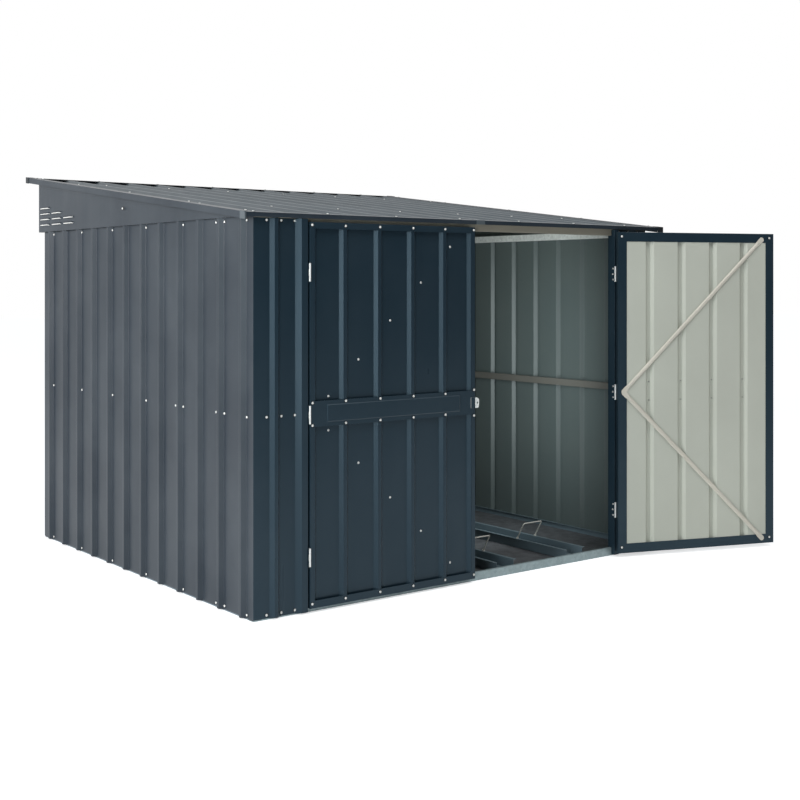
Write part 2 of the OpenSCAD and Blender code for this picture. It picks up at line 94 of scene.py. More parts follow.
# The sill and the back rail stand behind the walls' faces by one thickness of sheet
SHEET = 1.6 * MM
HALF_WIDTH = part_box("back_wall")[1].x
FRONT_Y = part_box("front_sill")[0].y - SHEET
BACK_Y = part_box("back_base_rail")[1].y + SHEET


def roof_slope():
    """Slope of the roof, from the left trim's flange."""
    mesh = NODES["roof_trim_left"].data
    flange = max(mesh.polygons, key=lambda p: p.area if p.normal.z > 0.5 else 0)
    return math.atan2(-flange.normal.y, flange.normal.z)


ROOF_SLOPE = roof_slope()
ROOF_NORMAL = Vector((0, -math.sin(ROOF_SLOPE), math.cos(ROOF_SLOPE)))
TRIM_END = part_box("roof_trim_left")[1]
ROOF_AT_0 = TRIM_END.z - TRIM_END.y * math.tan(ROOF_SLOPE)


def roof_top(y):
    """Height of the trims' upper face at a distance along the roof."""
    return ROOF_AT_0 + y * math.tan(ROOF_SLOPE)


def rib_crests():
    """Middles of the roof ribs' crests, across the roof."""
    deepest = 2.2 * MM
    narrowest, widest = 12 * MM, 22 * MM
    edges = sorted({
        round(corner.co.x, 3)
        for side in ("left", "middle", "right")
        for corner in NODES[f"roof_sheet_{side}"].data.vertices
        if roof_top(corner.co.y) - corner.co.z < deepest
    })
    return [(a + b) / 2 for a, b in zip(edges, edges[1:]) if narrowest < b - a < widest]


RIB_CRESTS = rib_crests()
GABLE_FACE = -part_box("roof_beam")[0].x + SHEET


def louvre_slots():
    """Middle, lower edge and length of each louvre's slot, from the blades on the left gable."""
    blades = -GABLE_FACE - 5 * MM
    corners = sorted({
        (round(corner.co.y, 4), round(corner.co.z, 4))
        for corner in NODES["left_gable"].data.vertices if corner.co.x < blades
    })
    levels = {}
    for y, z in corners:
        levels.setdefault(round(z, 3), []).append(y)
    slots = []
    for z, ends in levels.items():
        ends = sorted(set(ends))
        slots += [((a + b) / 2, z, b - a) for a, b in zip(ends[::2], ends[1::2])]
    return slots


LOUVRES = louvre_slots()
LOUVRE_LENGTH = max(length for _, _, length in LOUVRES)


# ---- Sizes and colours ----

def linear(hex_colour):
    """An sRGB hex colour as linear red, green and blue."""
    channels = [int(hex_colour[i:i + 2], 16) / 255 for i in (1, 3, 5)]
    return [c / 12.92 if c <= 0.04045 else ((c + 0.055) / 1.055) ** 2.4 for c in channels]


def length_property(name, description, default, low, high):
    """A length that the user can change, given in millimetres."""
    return FloatProperty(name=name, description=description, default=default * MM,
                         min=low * MM, max=high * MM, unit="LENGTH")


def colour_property(name, description, hex_colour):
    """A colour that the user can change."""
    return FloatVectorProperty(name=name, description=description, subtype="COLOR", size=3,
                               min=0, max=1, default=linear(hex_colour))


class ShedSizes(bpy.types.PropertyGroup):
    """Sizes of the details that the frame doesn't have"""

    fold_radius: length_property(
        "Fold", "Width of the rounding at a fold in the sheets", 1.6, 0.5, 3)
    cap_radius: length_property(
        "Cap edge", "Rounding along the moulded corner caps' edges", 0.9, 0.3, 0.9)
    left_cap_front: length_property(
        "Left cap's front", "Reach of the front left cap along the front trim", 6, 4, 34)
    louvre_reach: length_property(
        "Louvre reach", "How far a louvre's hood stands out from the gable", 10, 8, 14)
    louvre_sheet: length_property("Louvre sheet", "Thickness of a louvre's hood", 1, 0.6, 1.5)
    screw_head: length_property("Screw head", "Diameter of a screw's head", 10, 7, 14)
    screw_rise: length_property(
        "Screw rise", "Height of a screw's head over its washer", 2.6, 1.5, 3.5)
    washer: length_property(
        "Washer", "Diameter of the sealing washer under a screw's head", 15, 10, 20)
    washer_rise: length_property("Washer rise", "Thickness of a sealing washer", 0.8, 0.5, 1.5)
    hinge_screw: length_property("Hinge screw", "Diameter of a hinge screw's head", 7.8, 5, 9)
    tip_length: length_property(
        "Screw tip", "How far a screw's tip shows on the inner side", 12, 3, 13)
    brace_width: length_property(
        "Brace width", "Width of a brace at its flattened ends", 25, 15, 30)
    brace_neck: length_property("Brace middle", "Width of a brace between its ends", 21, 12, 25)
    brace_crown: length_property(
        "Brace crown", "How far the middle of a brace is pressed up", 5.2, 1, 6)
    band_emboss: length_property(
        "Band emboss", "Height of the raised panel on a door's band", 3, 1, 3)


class ShedColours(bpy.types.PropertyGroup):
    """Colours of the coats, the metals and the plastic, one for each finish, and of the floor"""

    wall: colour_property("Walls", "Coat on the outside of the walls and gables", "#1f2932")
    # The doors' coat is the walls' anthracite made bluer, and its sheen is tinted blue: painted
    # blue light and reflection on the front
    door: colour_property("Doors", "Coat on the outside and the frame of the doors", "#1c2c36")
    # The roof's coat is lighter than the walls' anthracite: painted reflection of the sky, seen at
    # a grazing angle
    roof: colour_property("Roof", "Coat on the roof sheets", "#454e53")
    backing: colour_property("Backing", "Pale coat on the sheets' inner side", "#c2c5b9")
    # The walls' inner coat is the pale backing made darker: painted shade for the shed's dim inside
    wall_backing: colour_property("Wall backing", "Coat on the walls' inner side", "#5a6463")
    mid_rail: colour_property("Mid rails", "Coat on the rails half way up the walls", "#6c6a64")
    # The lintel's coat is darkened: painted shade for the dark gap over the closed left door
    lintel: colour_property("Lintel", "Coat on the lintel over the doors", "#8e897c")
    hoop: colour_property("Hoops", "Zinc on the wheel hoops' wire", "#efece2")
    brace: colour_property("Braces", "Coat on the doors' braces", "#d2cdc0")
    # The rails' zinc is lightened to near white: painted light on the rails and beam in the shade
    # under the roof
    rail: colour_property("Rails", "Galvanised rails and beam under the roof", "#f2f3ef")
    sill: colour_property("Sill", "Galvanised front sill", "#9fb0b3")
    zinc: colour_property("Zinc", "Bright zinc on screws, hinges and padlock tabs", "#f0f0ec")
    # The threads are a darker zinc than the heads, as painted shade: the tips show as dark dots
    thread: colour_property("Threads", "Zinc on the screws' threaded tips", "#8f9294")
    rack: colour_property("Racks", "Coat on the wheel channels and base rails", "#6b7b83")
    cap: colour_property("Caps", "Plastic of the roof's corner caps", "#20262a")
    board: colour_property("Floor board", "Film on the floor board", "#585a5d")
    # This dark rubber is also laid in the hinge screws' cross recesses, as painted shade
    washer: colour_property("Washers", "Rubber of the sealing washers", "#15181a")
    studio: colour_property("Studio floor", "Floor that the shed stands on", "#f4f4f4")


# ---- Working with meshes ----

def only(piece):
    """Leaves one object selected and active, in object mode."""
    if bpy.context.object and bpy.context.object.mode == "EDIT":
        bpy.ops.object.mode_set(mode="OBJECT")
    for other in bpy.context.view_layer.objects:
        other.select_set(other is piece)
    bpy.context.view_layer.objects.active = piece


def edit(piece, select="NONE", mode="FACE"):
    """Opens one object in edit mode, with everything or nothing selected."""
    only(piece)
    bpy.ops.object.mode_set(mode="EDIT")
    bpy.ops.mesh.select_mode(type=mode)
    bpy.ops.mesh.select_all(action="SELECT" if select == "ALL" else "DESELECT")


def pick(piece, kind, test):
    """In edit mode, selects just those verts, edges or faces that pass the test."""
    bpy.ops.mesh.select_mode(type={"verts": "VERT", "edges": "EDGE", "faces": "FACE"}[kind])
    bpy.ops.mesh.select_all(action="DESELECT")
    mesh = bmesh.from_edit_mesh(piece.data)
    mesh.normal_update()
    for item in getattr(mesh, kind):
        if test(item):
            item.select_set(True)
    mesh.select_flush_mode()
    bmesh.update_edit_mesh(piece.data)


def close_edit():
    """Goes back to object mode."""
    bpy.ops.object.mode_set(mode="OBJECT")


def named(name):
    """Names the object that was just added or joined."""
    piece = bpy.context.object
    piece.name = name
    piece.data.name = name
    return piece


def set_down(piece):
    """Moves an object's place into its mesh, so that the object sits at the origin."""
    only(piece)
    bpy.ops.object.transform_apply(location=True, rotation=True, scale=True)


def apply_modifier(piece, kind, **settings):
    """Shapes a piece with a modifier and applies it."""
    only(piece)
    modifier = piece.modifiers.new(kind.title(), kind)
    for key, value in settings.items():
        setattr(modifier, key, value)
    bpy.ops.object.modifier_apply(modifier=modifier.name)


def copied(piece, name, matrix):
    """Copies an object with a mesh of its own, moved by a matrix."""
    twin = bpy.data.objects.new(name, piece.data.copy())
    twin.data.name = name
    bpy.context.scene.collection.objects.link(twin)
    twin.data.transform(matrix)
    if matrix.determinant() < 0:
        twin.data.flip_normals()
        edit(twin, "ALL")
        bpy.ops.mesh.normals_make_consistent(inside=False)
        close_edit()
    return twin


def joined(pieces, name):
    """Joins objects to one."""
    only(pieces[0])
    for piece in pieces[1:]:
        piece.select_set(True)
    if len(pieces) > 1:
        bpy.ops.object.join()
    return named(name)


def rows_of(model, name, matrices):
    """Copies of a small part at each matrix, joined to one object; the model goes."""
    pieces = [copied(model, name, matrix) for matrix in matrices]
    bpy.data.objects.remove(model)
    return joined(pieces, name)


def facing(place, normal, turn=0.0):
    """Matrix that sets a part, modelled upright, down on a face at a place."""
    return (
        Matrix.Translation(place)
        @ Vector(normal).to_track_quat("Z", "Y").to_matrix().to_4x4()
        @ Matrix.Rotation(turn, 4, "Z")
    )


def cad_copy(node, name):
    """Copies a node's mesh as a new object, with its triangles merged to clean faces."""
    piece = bpy.data.objects.new(name, NODES[node].data.copy())
    piece.data.name = name
    piece.data.materials.clear()
    bpy.context.scene.collection.objects.link(piece)
    edit(piece, "ALL", "VERT")
    bpy.ops.mesh.customdata_custom_splitnormals_clear()
    bpy.ops.mesh.remove_doubles(threshold=0.01 * MM)
    bpy.ops.mesh.dissolve_limited(angle_limit=math.radians(0.5))
    close_edit()
    return piece


def sharper_than(degrees):
    """A test for edges whose two faces meet at more than this angle."""
    least = math.radians(degrees)
    return lambda edge: len(edge.link_faces) == 2 and edge.calc_face_angle(0) > least


def is_fold(edge):
    """True for a crease between two faces that are both wider than the sheet is thick."""
    edge_width = 2.6 * MM
    return sharper_than(15)(edge) and all(
        2 * face.calc_area() / max(face.calc_perimeter(), 1e-9) > edge_width
        for face in edge.link_faces)


def smooth(piece, angle=35):
    """Shades folds and rounds smooth and keeps flat faces flat."""
    only(piece)
    bpy.ops.object.shade_smooth_by_angle(angle=math.radians(angle))
    apply_modifier(piece, "WEIGHTED_NORMAL", mode="FACE_AREA", weight=50, keep_sharp=True)


def round_folds(piece, radius, test=is_fold, segments=2):
    """Rounds the edges that pass the test."""
    edit(piece)
    pick(piece, "edges", test)
    bpy.ops.mesh.bevel(offset=radius, offset_type="OFFSET", segments=segments, affect="EDGES")
    close_edit()
    smooth(piece)


def coat(piece, material, second=None, where=None):
    """Gives a piece its material, and a second one on the faces that pass the test."""
    piece.data.materials.clear()
    piece.data.materials.append(material)
    if second:
        piece.data.materials.append(second)
    for face in piece.data.polygons:
        face.material_index = 1 if second and where(face) else 0


def folded_sheet(node, name, front, back=None, outward=None):
    """A node's sheet with rounded folds, and another coat on its back where one is given."""
    piece = cad_copy(node, name)
    round_folds(piece, bpy.context.scene.shed_sizes.fold_radius)
    coat(piece, front, back, lambda face: face.normal.dot(outward) < -0.3)
    return piece


def hand_over(piece, body, slot, *nodes):
    """Says which body a piece rides on and which nodes it stands for. Its slot is not used."""
    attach(piece, body)
    if nodes:
        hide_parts(*nodes)


def fold_nodes(nodes, ending, slot, front, back=None, outward=None):
    """Puts a folded sheet in the place of each node on the shed that is named."""
    for node in nodes:
        hand_over(folded_sheet(node, node + ending, front, back, outward), SHED, slot, node)


def keep_node(node, material):
    """A node whose shape is right stays, with a better material."""
    mesh = NODES[node].data
    mesh.materials.clear()
    mesh.materials.append(material)


# ---- Materials ----

def add_node(tree, kind, place, values=None, links=None, **settings):
    """Adds a node at a place, with its settings, input values and links from other nodes."""
    node = tree.nodes.new("ShaderNode" + kind)
    node.location = place
    for key, value in settings.items():
        setattr(node, key, value)
    for key, value in (values or {}).items():
        node.inputs[key].default_value = value
    add_links(tree, node, links or {})
    return node


def add_links(tree, node, links):
    """Links a node's inputs, each from another node and the output that is named."""
    for key, (source, output) in links.items():
        tree.links.new(source.outputs[output], node.inputs[key])


def new_material(name, **sockets):
    """An empty material with its shader's own sockets set."""
    material = bpy.data.materials.new(name)
    material.use_nodes = True
    tree = material.node_tree
    shader = tree.nodes["Principled BSDF"]
    for key, value in sockets.items():
        shader.inputs[key.replace("_", " ")].default_value = value
    return material, tree, shader


def new_finish(name, **sockets):
    """A new material, and the link from Object coordinates that its patterns are laid out by."""
    material, tree, shader = new_material(name, **sockets)
    place = add_node(tree, "TexCoord", (-1400, 0))
    return material, tree, shader, {"Vector": (place, "Object")}


def shade(colour, factor):
    """A linear colour made lighter or darker, as the four numbers that a colour socket takes."""
    return [min(1.0, c * factor) for c in colour] + [1.0]


def polyester_coat(name, colour, roughness=0.42, specular=0.5, dust="#7d858a", dust_amount=0.10,
                   tint=(1.0, 1.0, 1.0)):
    """Polyester coat, baked on to zinc-plated strip before it was rolled to shape.

    It gives a satin sheen that wanders a little, because thin flat sheet is never quite flat
    between its ribs, a faint orange peel, and a thin veil of dust in patches."""
    # A tint other than white colours the sheen; the doors' blue tint is a painted blue reflection
    material, tree, shader, here = new_finish(
        name, Specular_IOR_Level=specular, Specular_Tint=(*tint, 1.0))
    # Patches of dust some 400 mm across
    patches = add_node(tree, "TexNoise", (-1150, 300),
                       {"Scale": 2.5, "Detail": 4.0, "Roughness": 0.6}, here)
    amount = add_node(tree, "MapRange", (-900, 300),
                      {"From Min": 0.35, "From Max": 0.75, "To Min": 0.0, "To Max": dust_amount},
                      {"Value": (patches, "Fac")})
    veiled = add_node(tree, "Mix", (-650, 300), {6: shade(colour, 1.0), 7: linear(dust) + [1.0]},
                      {0: (amount, "Result")}, data_type="RGBA")
    # The coat's own tone drifts along the strip, over about a metre
    drift = add_node(tree, "TexNoise", (-900, 600), {"Scale": 1.1, "Detail": 2.0}, here)
    tone = add_node(tree, "MapRange", (-650, 600), {"To Min": 0.88, "To Max": 1.12},
                    {"Value": (drift, "Fac")})
    toned = add_node(tree, "VectorMath", (-400, 400), None,
                     {0: (veiled, 2), "Scale": (tone, "Result")}, operation="SCALE")
    # Sheen differs in streaks along the rolling direction, 60 mm wide
    streak_place = add_node(tree, "Mapping", (-1150, -100), {"Scale": (16.0, 16.0, 1.5)}, here)
    streaks = add_node(tree, "TexNoise", (-900, -100), {"Scale": 1.0, "Detail": 3.0},
                       {"Vector": (streak_place, "Vector")})
    sheen = add_node(tree, "MapRange", (-650, -100),
                     {"To Min": roughness - 0.07, "To Max": roughness + 0.09},
                     {"Value": (streaks, "Fac")})
    # Orange peel is about 1 mm across, drawn 5 mm across so that it shows
    peel = add_node(tree, "TexNoise", (-900, -400), {"Scale": 200.0, "Detail": 2.0}, here)
    fine = add_node(tree, "Bump", (-400, -400), {"Strength": 0.35, "Distance": 0.05 * MM},
                    {"Height": (peel, "Fac")})
    # The sheet bellies by about 1 mm over 300 mm
    belly = add_node(tree, "TexNoise", (-900, -700), {"Scale": 3.4, "Detail": 1.0}, here)
    wavy = add_node(tree, "Bump", (-150, -400), {"Strength": 0.8, "Distance": 1.6 * MM},
                    {"Height": (belly, "Fac"), "Normal": (fine, "Normal")})
    add_links(tree, shader, {"Base Color": (toned, "Vector"), "Roughness": (sheen, "Result"),
                             "Normal": (wavy, "Normal")})
    return material


def galvanised(name, colour, metallic, roughness=0.42):
    """Hot-dip galvanised strip: zinc crystals 12 mm across, each a little lighter, darker or
    duller than the next, under a dull grey bloom."""
    material, tree, shader, here = new_finish(name, Metallic=metallic)
    crystals = add_node(tree, "TexVoronoi", (-1150, 200), {"Scale": 85.0, "Randomness": 1.0}, here)
    grey = add_node(tree, "SeparateColor", (-900, 200), None, {"Color": (crystals, "Color")})
    flake = add_node(tree, "MapRange", (-650, 200), {"To Min": 0.86, "To Max": 1.04},
                     {"Value": (grey, "Red")})
    bloom = add_node(tree, "TexNoise", (-1150, 500), {"Scale": 9.0, "Detail": 5.0}, here)
    dull = add_node(tree, "MapRange", (-900, 500), {"To Min": 0.86, "To Max": 1.08},
                    {"Value": (bloom, "Fac")})
    both = add_node(tree, "Math", (-650, 500), None,
                    {0: (flake, "Result"), 1: (dull, "Result")}, operation="MULTIPLY")
    tint = add_node(tree, "CombineXYZ", (-650, 350), dict(zip("XYZ", colour)))
    shown = add_node(tree, "VectorMath", (-400, 350), None,
                     {0: (tint, "Vector"), "Scale": (both, "Value")}, operation="SCALE")
    rough = add_node(tree, "MapRange", (-400, 0),
                     {"To Min": roughness - 0.1, "To Max": roughness + 0.1},
                     {"Value": (grey, "Green")})
    skin = add_node(tree, "Bump", (-400, -300), {"Strength": 0.4, "Distance": 0.1 * MM},
                    {"Height": (bloom, "Fac")})
    add_links(tree, shader, {"Base Color": (shown, "Vector"), "Roughness": (rough, "Result"),
                             "Normal": (skin, "Normal")})
    return material


def bright_zinc(name, colour, metallic=0.15):
    """Zinc-plated small steel parts, passivated clear: bright and clean, with a slight cloud
    where they were handled."""
    material, tree, shader, here = new_finish(name, Metallic=metallic)
    cloud = add_node(tree, "TexNoise", (-1150, 100), {"Scale": 120.0, "Detail": 3.0}, here)
    tone = add_node(tree, "Mix", (-650, 200), {6: shade(colour, 0.82), 7: shade(colour, 1.05)},
                    {0: (cloud, "Fac")}, data_type="RGBA")
    rough = add_node(tree, "MapRange", (-650, -100), {"To Min": 0.24, "To Max": 0.42},
                     {"Value": (cloud, "Fac")})
    add_links(tree, shader, {"Base Color": (tone, 2), "Roughness": (rough, "Result")})
    return material


def moulded_plastic(name, colour, roughness=0.5):
    """Injection-moulded polypropylene with a fine spark-eroded grain: dull and even."""
    material, tree, shader, here = new_finish(name, Specular_IOR_Level=0.4)
    # The grain is 0.3 mm, drawn at 1.5 mm so that it shows
    grain = add_node(tree, "TexNoise", (-1150, 0), {"Scale": 650.0, "Detail": 2.0}, here)
    tone = add_node(tree, "Mix", (-650, 200), {6: shade(colour, 0.85), 7: shade(colour, 1.25)},
                    {0: (grain, "Fac")}, data_type="RGBA")
    rough = add_node(tree, "MapRange", (-650, -100),
                     {"To Min": roughness - 0.06, "To Max": roughness + 0.08},
                     {"Value": (grain, "Fac")})
    bump = add_node(tree, "Bump", (-400, -300), {"Strength": 0.5, "Distance": 0.06 * MM},
                    {"Height": (grain, "Fac")})
    add_links(tree, shader, {"Base Color": (tone, 2), "Roughness": (rough, "Result"),
                             "Normal": (bump, "Normal")})
    return material


def filmed_board(name, colour):
    """Film-faced plywood with a pressed mesh: dark, dull, scuffed in pale clouds."""
    material, tree, shader, here = new_finish(name, Specular_IOR_Level=0.35)
    scuffs = add_node(tree, "TexNoise", (-1150, 300),
                      {"Scale": 22.0, "Detail": 8.0, "Roughness": 0.7}, here)
    cloud = add_node(tree, "MapRange", (-900, 300), {"From Min": 0.3, "From Max": 0.7},
                     {"Value": (scuffs, "Fac")})
    tone = add_node(tree, "Mix", (-650, 200), {6: shade(colour, 0.6), 7: shade(colour, 1.5)},
                    {0: (cloud, "Result")}, data_type="RGBA")
    # The mesh pressed into the film has wires 5 mm apart
    wires = add_node(tree, "TexVoronoi", (-1150, -200), {"Scale": 200.0, "Randomness": 0.0}, here)
    bump = add_node(tree, "Bump", (-400, -300), {"Strength": 0.4, "Distance": 0.3 * MM},
                    {"Height": (wires, "Distance")})
    rough = add_node(tree, "MapRange", (-650, -100), {"To Min": 0.55, "To Max": 0.8},
                     {"Value": (scuffs, "Fac")})
    add_links(tree, shader, {"Base Color": (tone, 2), "Roughness": (rough, "Result"),
                             "Normal": (bump, "Normal")})
    return material


INDOOR_DUST = "#8d8c80"
# Each finish has the name of its colour: how it is made, its material's name and its settings
FINISHES = {
    "wall": (polyester_coat, "anthracite_polyester_coat", dict(roughness=0.36, specular=0.3)),
    # The doors' bluer tone and blue-tinted sheen are painted blue light and reflection on the front
    "door": (polyester_coat, "door_polyester_coat",
             dict(roughness=0.30, specular=0.32, dust_amount=0.03, tint=(0.66, 0.86, 1.0))),
    # Lighter than the walls' coat, as painted reflection of the sky on the roof
    "roof": (polyester_coat, "roof_polyester_coat", dict(roughness=0.45, dust_amount=0.18)),
    "backing": (polyester_coat, "pale_backing_coat",
                dict(roughness=0.55, specular=0.4, dust=INDOOR_DUST, dust_amount=0.12)),
    # Darker than the pale backing, as painted shade inside the walls
    "wall_backing": (polyester_coat, "wall_backing_coat",
                     dict(dust=INDOOR_DUST, dust_amount=0.08)),
    "mid_rail": (polyester_coat, "mid_rail_coat", dict(roughness=0.45, dust=INDOOR_DUST)),
    # Darkened, as painted shade in the gap between the left door's top and the trim
    "lintel": (polyester_coat, "lintel_coat", dict(roughness=0.45, dust=INDOOR_DUST)),
    "brace": (polyester_coat, "brace_powder_coat",
              dict(roughness=0.5, dust="#8a8478", dust_amount=0.15)),
    "rack": (polyester_coat, "rack_powder_coat",
             dict(roughness=0.38, specular=0.6, dust="#8a9498", dust_amount=0.12)),
    # Near white, as painted light on the rails and beam under the roof
    "rail": (galvanised, "galvanised_rail", dict(metallic=0.15)),
    "sill": (galvanised, "galvanised_sill", dict(roughness=0.5, metallic=0.35)),
    "hoop": (galvanised, "galvanised_wire", dict(roughness=0.45, metallic=0.15)),
    "zinc": (bright_zinc, "bright_zinc_plate", {}),
    # Darker than the bright zinc, as painted shade on the screw tips
    "thread": (bright_zinc, "zinc_plated_thread", dict(metallic=0.8)),
    "cap": (moulded_plastic, "moulded_polypropylene", {}),
    "washer": (moulded_plastic, "moulded_rubber", dict(roughness=0.7)),
    "board": (filmed_board, "film_faced_board", {}),
}
made = {}


def finish(key):
    """The material of that finish, made when it is first asked for."""
    if key not in made:
        make, name, settings = FINISHES[key]
        made[key] = make(name, getattr(bpy.context.scene.shed_colours, key), **settings)
    return made[key]


# ---- Screws ----

# Heights of the wall screws' rows, and their places back from the front of the walls
WALL_ROWS = (0.019, 0.781, 1.5397)
WALL_COLUMNS = (0.0464, 0.2184, 0.286, 0.5624, 0.9064, 1.2504, 1.5944, 1.9384)
# The middle row has one screw more
MIDDLE_ROW_COLUMNS = WALL_COLUMNS + (0.630,)
# Places of the corner panels' screws in from the side, and their heights
CORNER_COLUMNS = (0.0589, 0.1255, 0.1877)
CORNER_ROWS = (0.019, 0.781, 1.5406)
# On the back the screws stand at the ribs' pitch, with one more at the right end
RIB_PITCH = 0.172
BACK_COLUMNS = [(k - 5.5) * RIB_PITCH for k in range(12)] + [6 * RIB_PITCH]
# The gables' screw, back from the front and up
GABLE_SCREW = (1.093, 1.632)
# Places of the roof's side screws, back from the front and then before the back edge
ROOF_ROWS = (0.054, 0.512, 1.07, 1.63)
ROOF_LAST_ROW = 0.10
# From the roof's edges to the screws along them
ROOF_LEFT_INSET, ROOF_RIGHT_INSET, ROOF_FRONT_INSET, ROOF_BACK_INSET = 0.049, 0.018, 0.019, 0.020
# Rows of the ribs' own screws: each rib has one, in front and behind in turn
SHEET_ROWS = (0.42, 1.69)
# The ribs' crests lie under the trims' faces by this much
CREST_DEPTH = 1.8 * MM

# Every third corner of a screw's 12-sided top is drawn in, which leaves a cross
CROSS_WAIST = 0.45
# Each screw stopped at a different turn from the last
SCREW_TURN = math.radians(50)


def screw_blank(name, diameter, thickness):
    """A 12-sided disc on z = 0, open in edit mode with its upper face selected."""
    bpy.ops.mesh.primitive_cylinder_add(
        vertices=12, radius=diameter / 2, depth=thickness, location=(0, 0, thickness / 2),
        rotation=(0, 0, math.radians(15)))
    screw = named(name)
    set_down(screw)
    edit(screw)
    pick(screw, "faces", lambda f: f.normal.z > 0.9)
    return screw


def sink_cross(screw, head, top, depth):
    """Sinks a cross in the middle of a head's flat top, at a height of top."""
    pick(screw, "verts", lambda v: v.co.z > top - 0.01 * MM and v.co.xy.length < head * 0.3
         and abs(abs(v.co.x) - abs(v.co.y)) < head * 0.03)
    bpy.ops.transform.resize(value=(CROSS_WAIST, CROSS_WAIST, 1), center_override=(0, 0, top))
    pick(screw, "faces", lambda f: len(f.verts) == 12 and f.normal.z > 0.9)
    bpy.ops.mesh.extrude_region_move(TRANSFORM_OT_translate={"value": (0, 0, -depth)})
    close_edit()


def screw_model(sizes):
    """A pan-head screw on its sealing washer, upright on z = 0."""
    head, rise, brim = sizes.screw_head, sizes.screw_rise, sizes.washer_rise
    screw = screw_blank("screw", sizes.washer, brim)
    bpy.ops.mesh.inset(thickness=(sizes.washer - head) / 2, use_even_offset=True)
    # The head's side is upright for a little over half its height, and its shoulder slopes in
    bpy.ops.mesh.extrude_region_move(TRANSFORM_OT_translate={"value": (0, 0, rise * 0.55)})
    bpy.ops.mesh.inset(thickness=head * 0.14, depth=rise * 0.45, use_even_offset=True)
    bpy.ops.mesh.inset(thickness=head * 0.08, use_even_offset=True)
    sink_cross(screw, head, brim + rise, rise * 0.4)
    coat(screw, finish("zinc"), finish("washer"), lambda face: face.center.z < brim * 0.9 or (
        face.center.z < brim + 0.01 * MM and face.center.xy.length > head / 2 - 0.05 * MM))
    smooth(screw, 40)
    return screw


def tip_model(length):
    """A screw's threaded tip, pointing up from z = 0."""
    bpy.ops.mesh.primitive_cone_add(
        vertices=10, radius1=2.6 * MM, radius2=0.4 * MM, depth=length, location=(0, 0, length / 2))
    tip = named("tip")
    set_down(tip)
    edit(tip)
    pick(tip, "faces", lambda f: abs(f.normal.z) < 0.9)
    bpy.ops.mesh.subdivide(number_cuts=5)
    # The second and fourth ring up are drawn in, as the roots of a coarse thread
    pick(tip, "verts", lambda v: round(v.co.z / length * 6) in (2, 4))
    bpy.ops.transform.resize(value=(0.72, 0.72, 1), center_override=(0, 0, 0))
    close_edit()
    # The tip's darker zinc is painted shade
    coat(tip, finish("thread"))
    smooth(tip, 40)
    return tip


def screws_at(name, places):
    """Screws joined to one piece. Each place is a point and the way it faces."""
    return rows_of(screw_model(bpy.context.scene.shed_sizes), name,
                   [facing(point, way, SCREW_TURN * i) for i, (point, way) in enumerate(places)])


def on_roof(x, y, depth=0.0):
    """A place on the roof and the way it faces."""
    return Vector((x, y, roof_top(y) - depth)), ROOF_NORMAL


def roof_screw_places():
    """Screws through the trims' flanges, and the single ones over the sheets."""
    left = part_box("roof_trim_left")[0].x + ROOF_LEFT_INSET
    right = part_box("roof_trim_right")[1].x - ROOF_RIGHT_INSET
    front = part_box("roof_trim_front")[0].y
    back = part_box("roof_trim_back")[1].y
    rows = [FRONT_Y + y for y in ROOF_ROWS] + [back - ROOF_LAST_ROW]
    places = [on_roof(x, y) for x in (left, right) for y in rows]
    for i, x in enumerate(RIB_CRESTS):
        if i % 2 == 0:
            places += [on_roof(x, front + ROOF_FRONT_INSET), on_roof(x, back - ROOF_BACK_INSET)]
        places.append(on_roof(x, FRONT_Y + SHEET_ROWS[i % 2], CREST_DEPTH))
    return places


class SHED_OT_screws(bpy.types.Operator):
    """Adds the screws of the walls, corner panels, gables and roof"""
    bl_idname = "shed.screws"
    bl_label = "Shed screws"

    def execute(self, context):
        places = []
        for way in (LEFT, RIGHT):
            for z in WALL_ROWS:
                columns = MIDDLE_ROW_COLUMNS if z == WALL_ROWS[1] else WALL_COLUMNS
                places += [(Vector((way.x * HALF_WIDTH, FRONT_Y + y, z)), way) for y in columns]
        for way in (LEFT, RIGHT):
            for x in CORNER_COLUMNS:
                places += [(Vector((way.x * (HALF_WIDTH - x), FRONT_Y, z)), FRONT)
                           for z in CORNER_ROWS]
        places += [(Vector((x, BACK_Y, z)), BACK) for z in WALL_ROWS for x in BACK_COLUMNS]
        y, z = GABLE_SCREW
        for x, way in ((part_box("left_gable")[0].x, LEFT), (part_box("right_gable")[1].x, RIGHT)):
            places.append((Vector((x, FRONT_Y + y, z)), way))
        hand_over(screws_at("wall_screws", places), SHED, "bright_zinc")
        hand_over(screws_at("roof_screws", roof_screw_places()), SHED, "bright_zinc")
        return {"FINISHED"}


# ---- Base ----

class SHED_OT_base(bpy.types.Operator):
    """Finishes the sill, the base rails and the floor board"""
    bl_idname = "shed.base"
    bl_label = "Base and floor"

    def execute(self, context):
        sill = folded_sheet("front_sill", "sill_strip", finish("sill"))
        hand_over(sill, SHED, "base_galvanised", "front_sill")
        fold_nodes(("left_base_rail", "right_base_rail", "back_base_rail"), "_strip",
                   "wall_coat", finish("rack"))
        keep_node("floor_panel", finish("board"))
        return {"FINISHED"}


# ---- Walls ----

class SHED_OT_walls(bpy.types.Operator):
    """Folds the wall sheets, the corner panels and their posts"""
    bl_idname = "shed.walls"
    bl_label = "Walls"

    def execute(self, context):
        for nodes, coat_name, outward in (
                (["left_wall"], "wall", LEFT), (["right_wall"], "wall", RIGHT),
                (["back_wall"], "wall", BACK),
                # The corner panels face the front and take the doors' coat, with its painted blue
                # reflection
                (["left_corner_panel", "right_corner_panel"], "door", FRONT)):
            # Inside, the walls take the darkened backing, which is painted shade
            fold_nodes(nodes, "_sheet", "wall_coat", finish(coat_name), finish("wall_backing"),
                       outward)
        # The jamb posts take the doors' coat, with its painted blue reflection
        fold_nodes(("left_jamb_post", "right_jamb_post"), "_strip", "wall_coat", finish("door"))
        return {"FINISHED"}


# ---- Gables ----

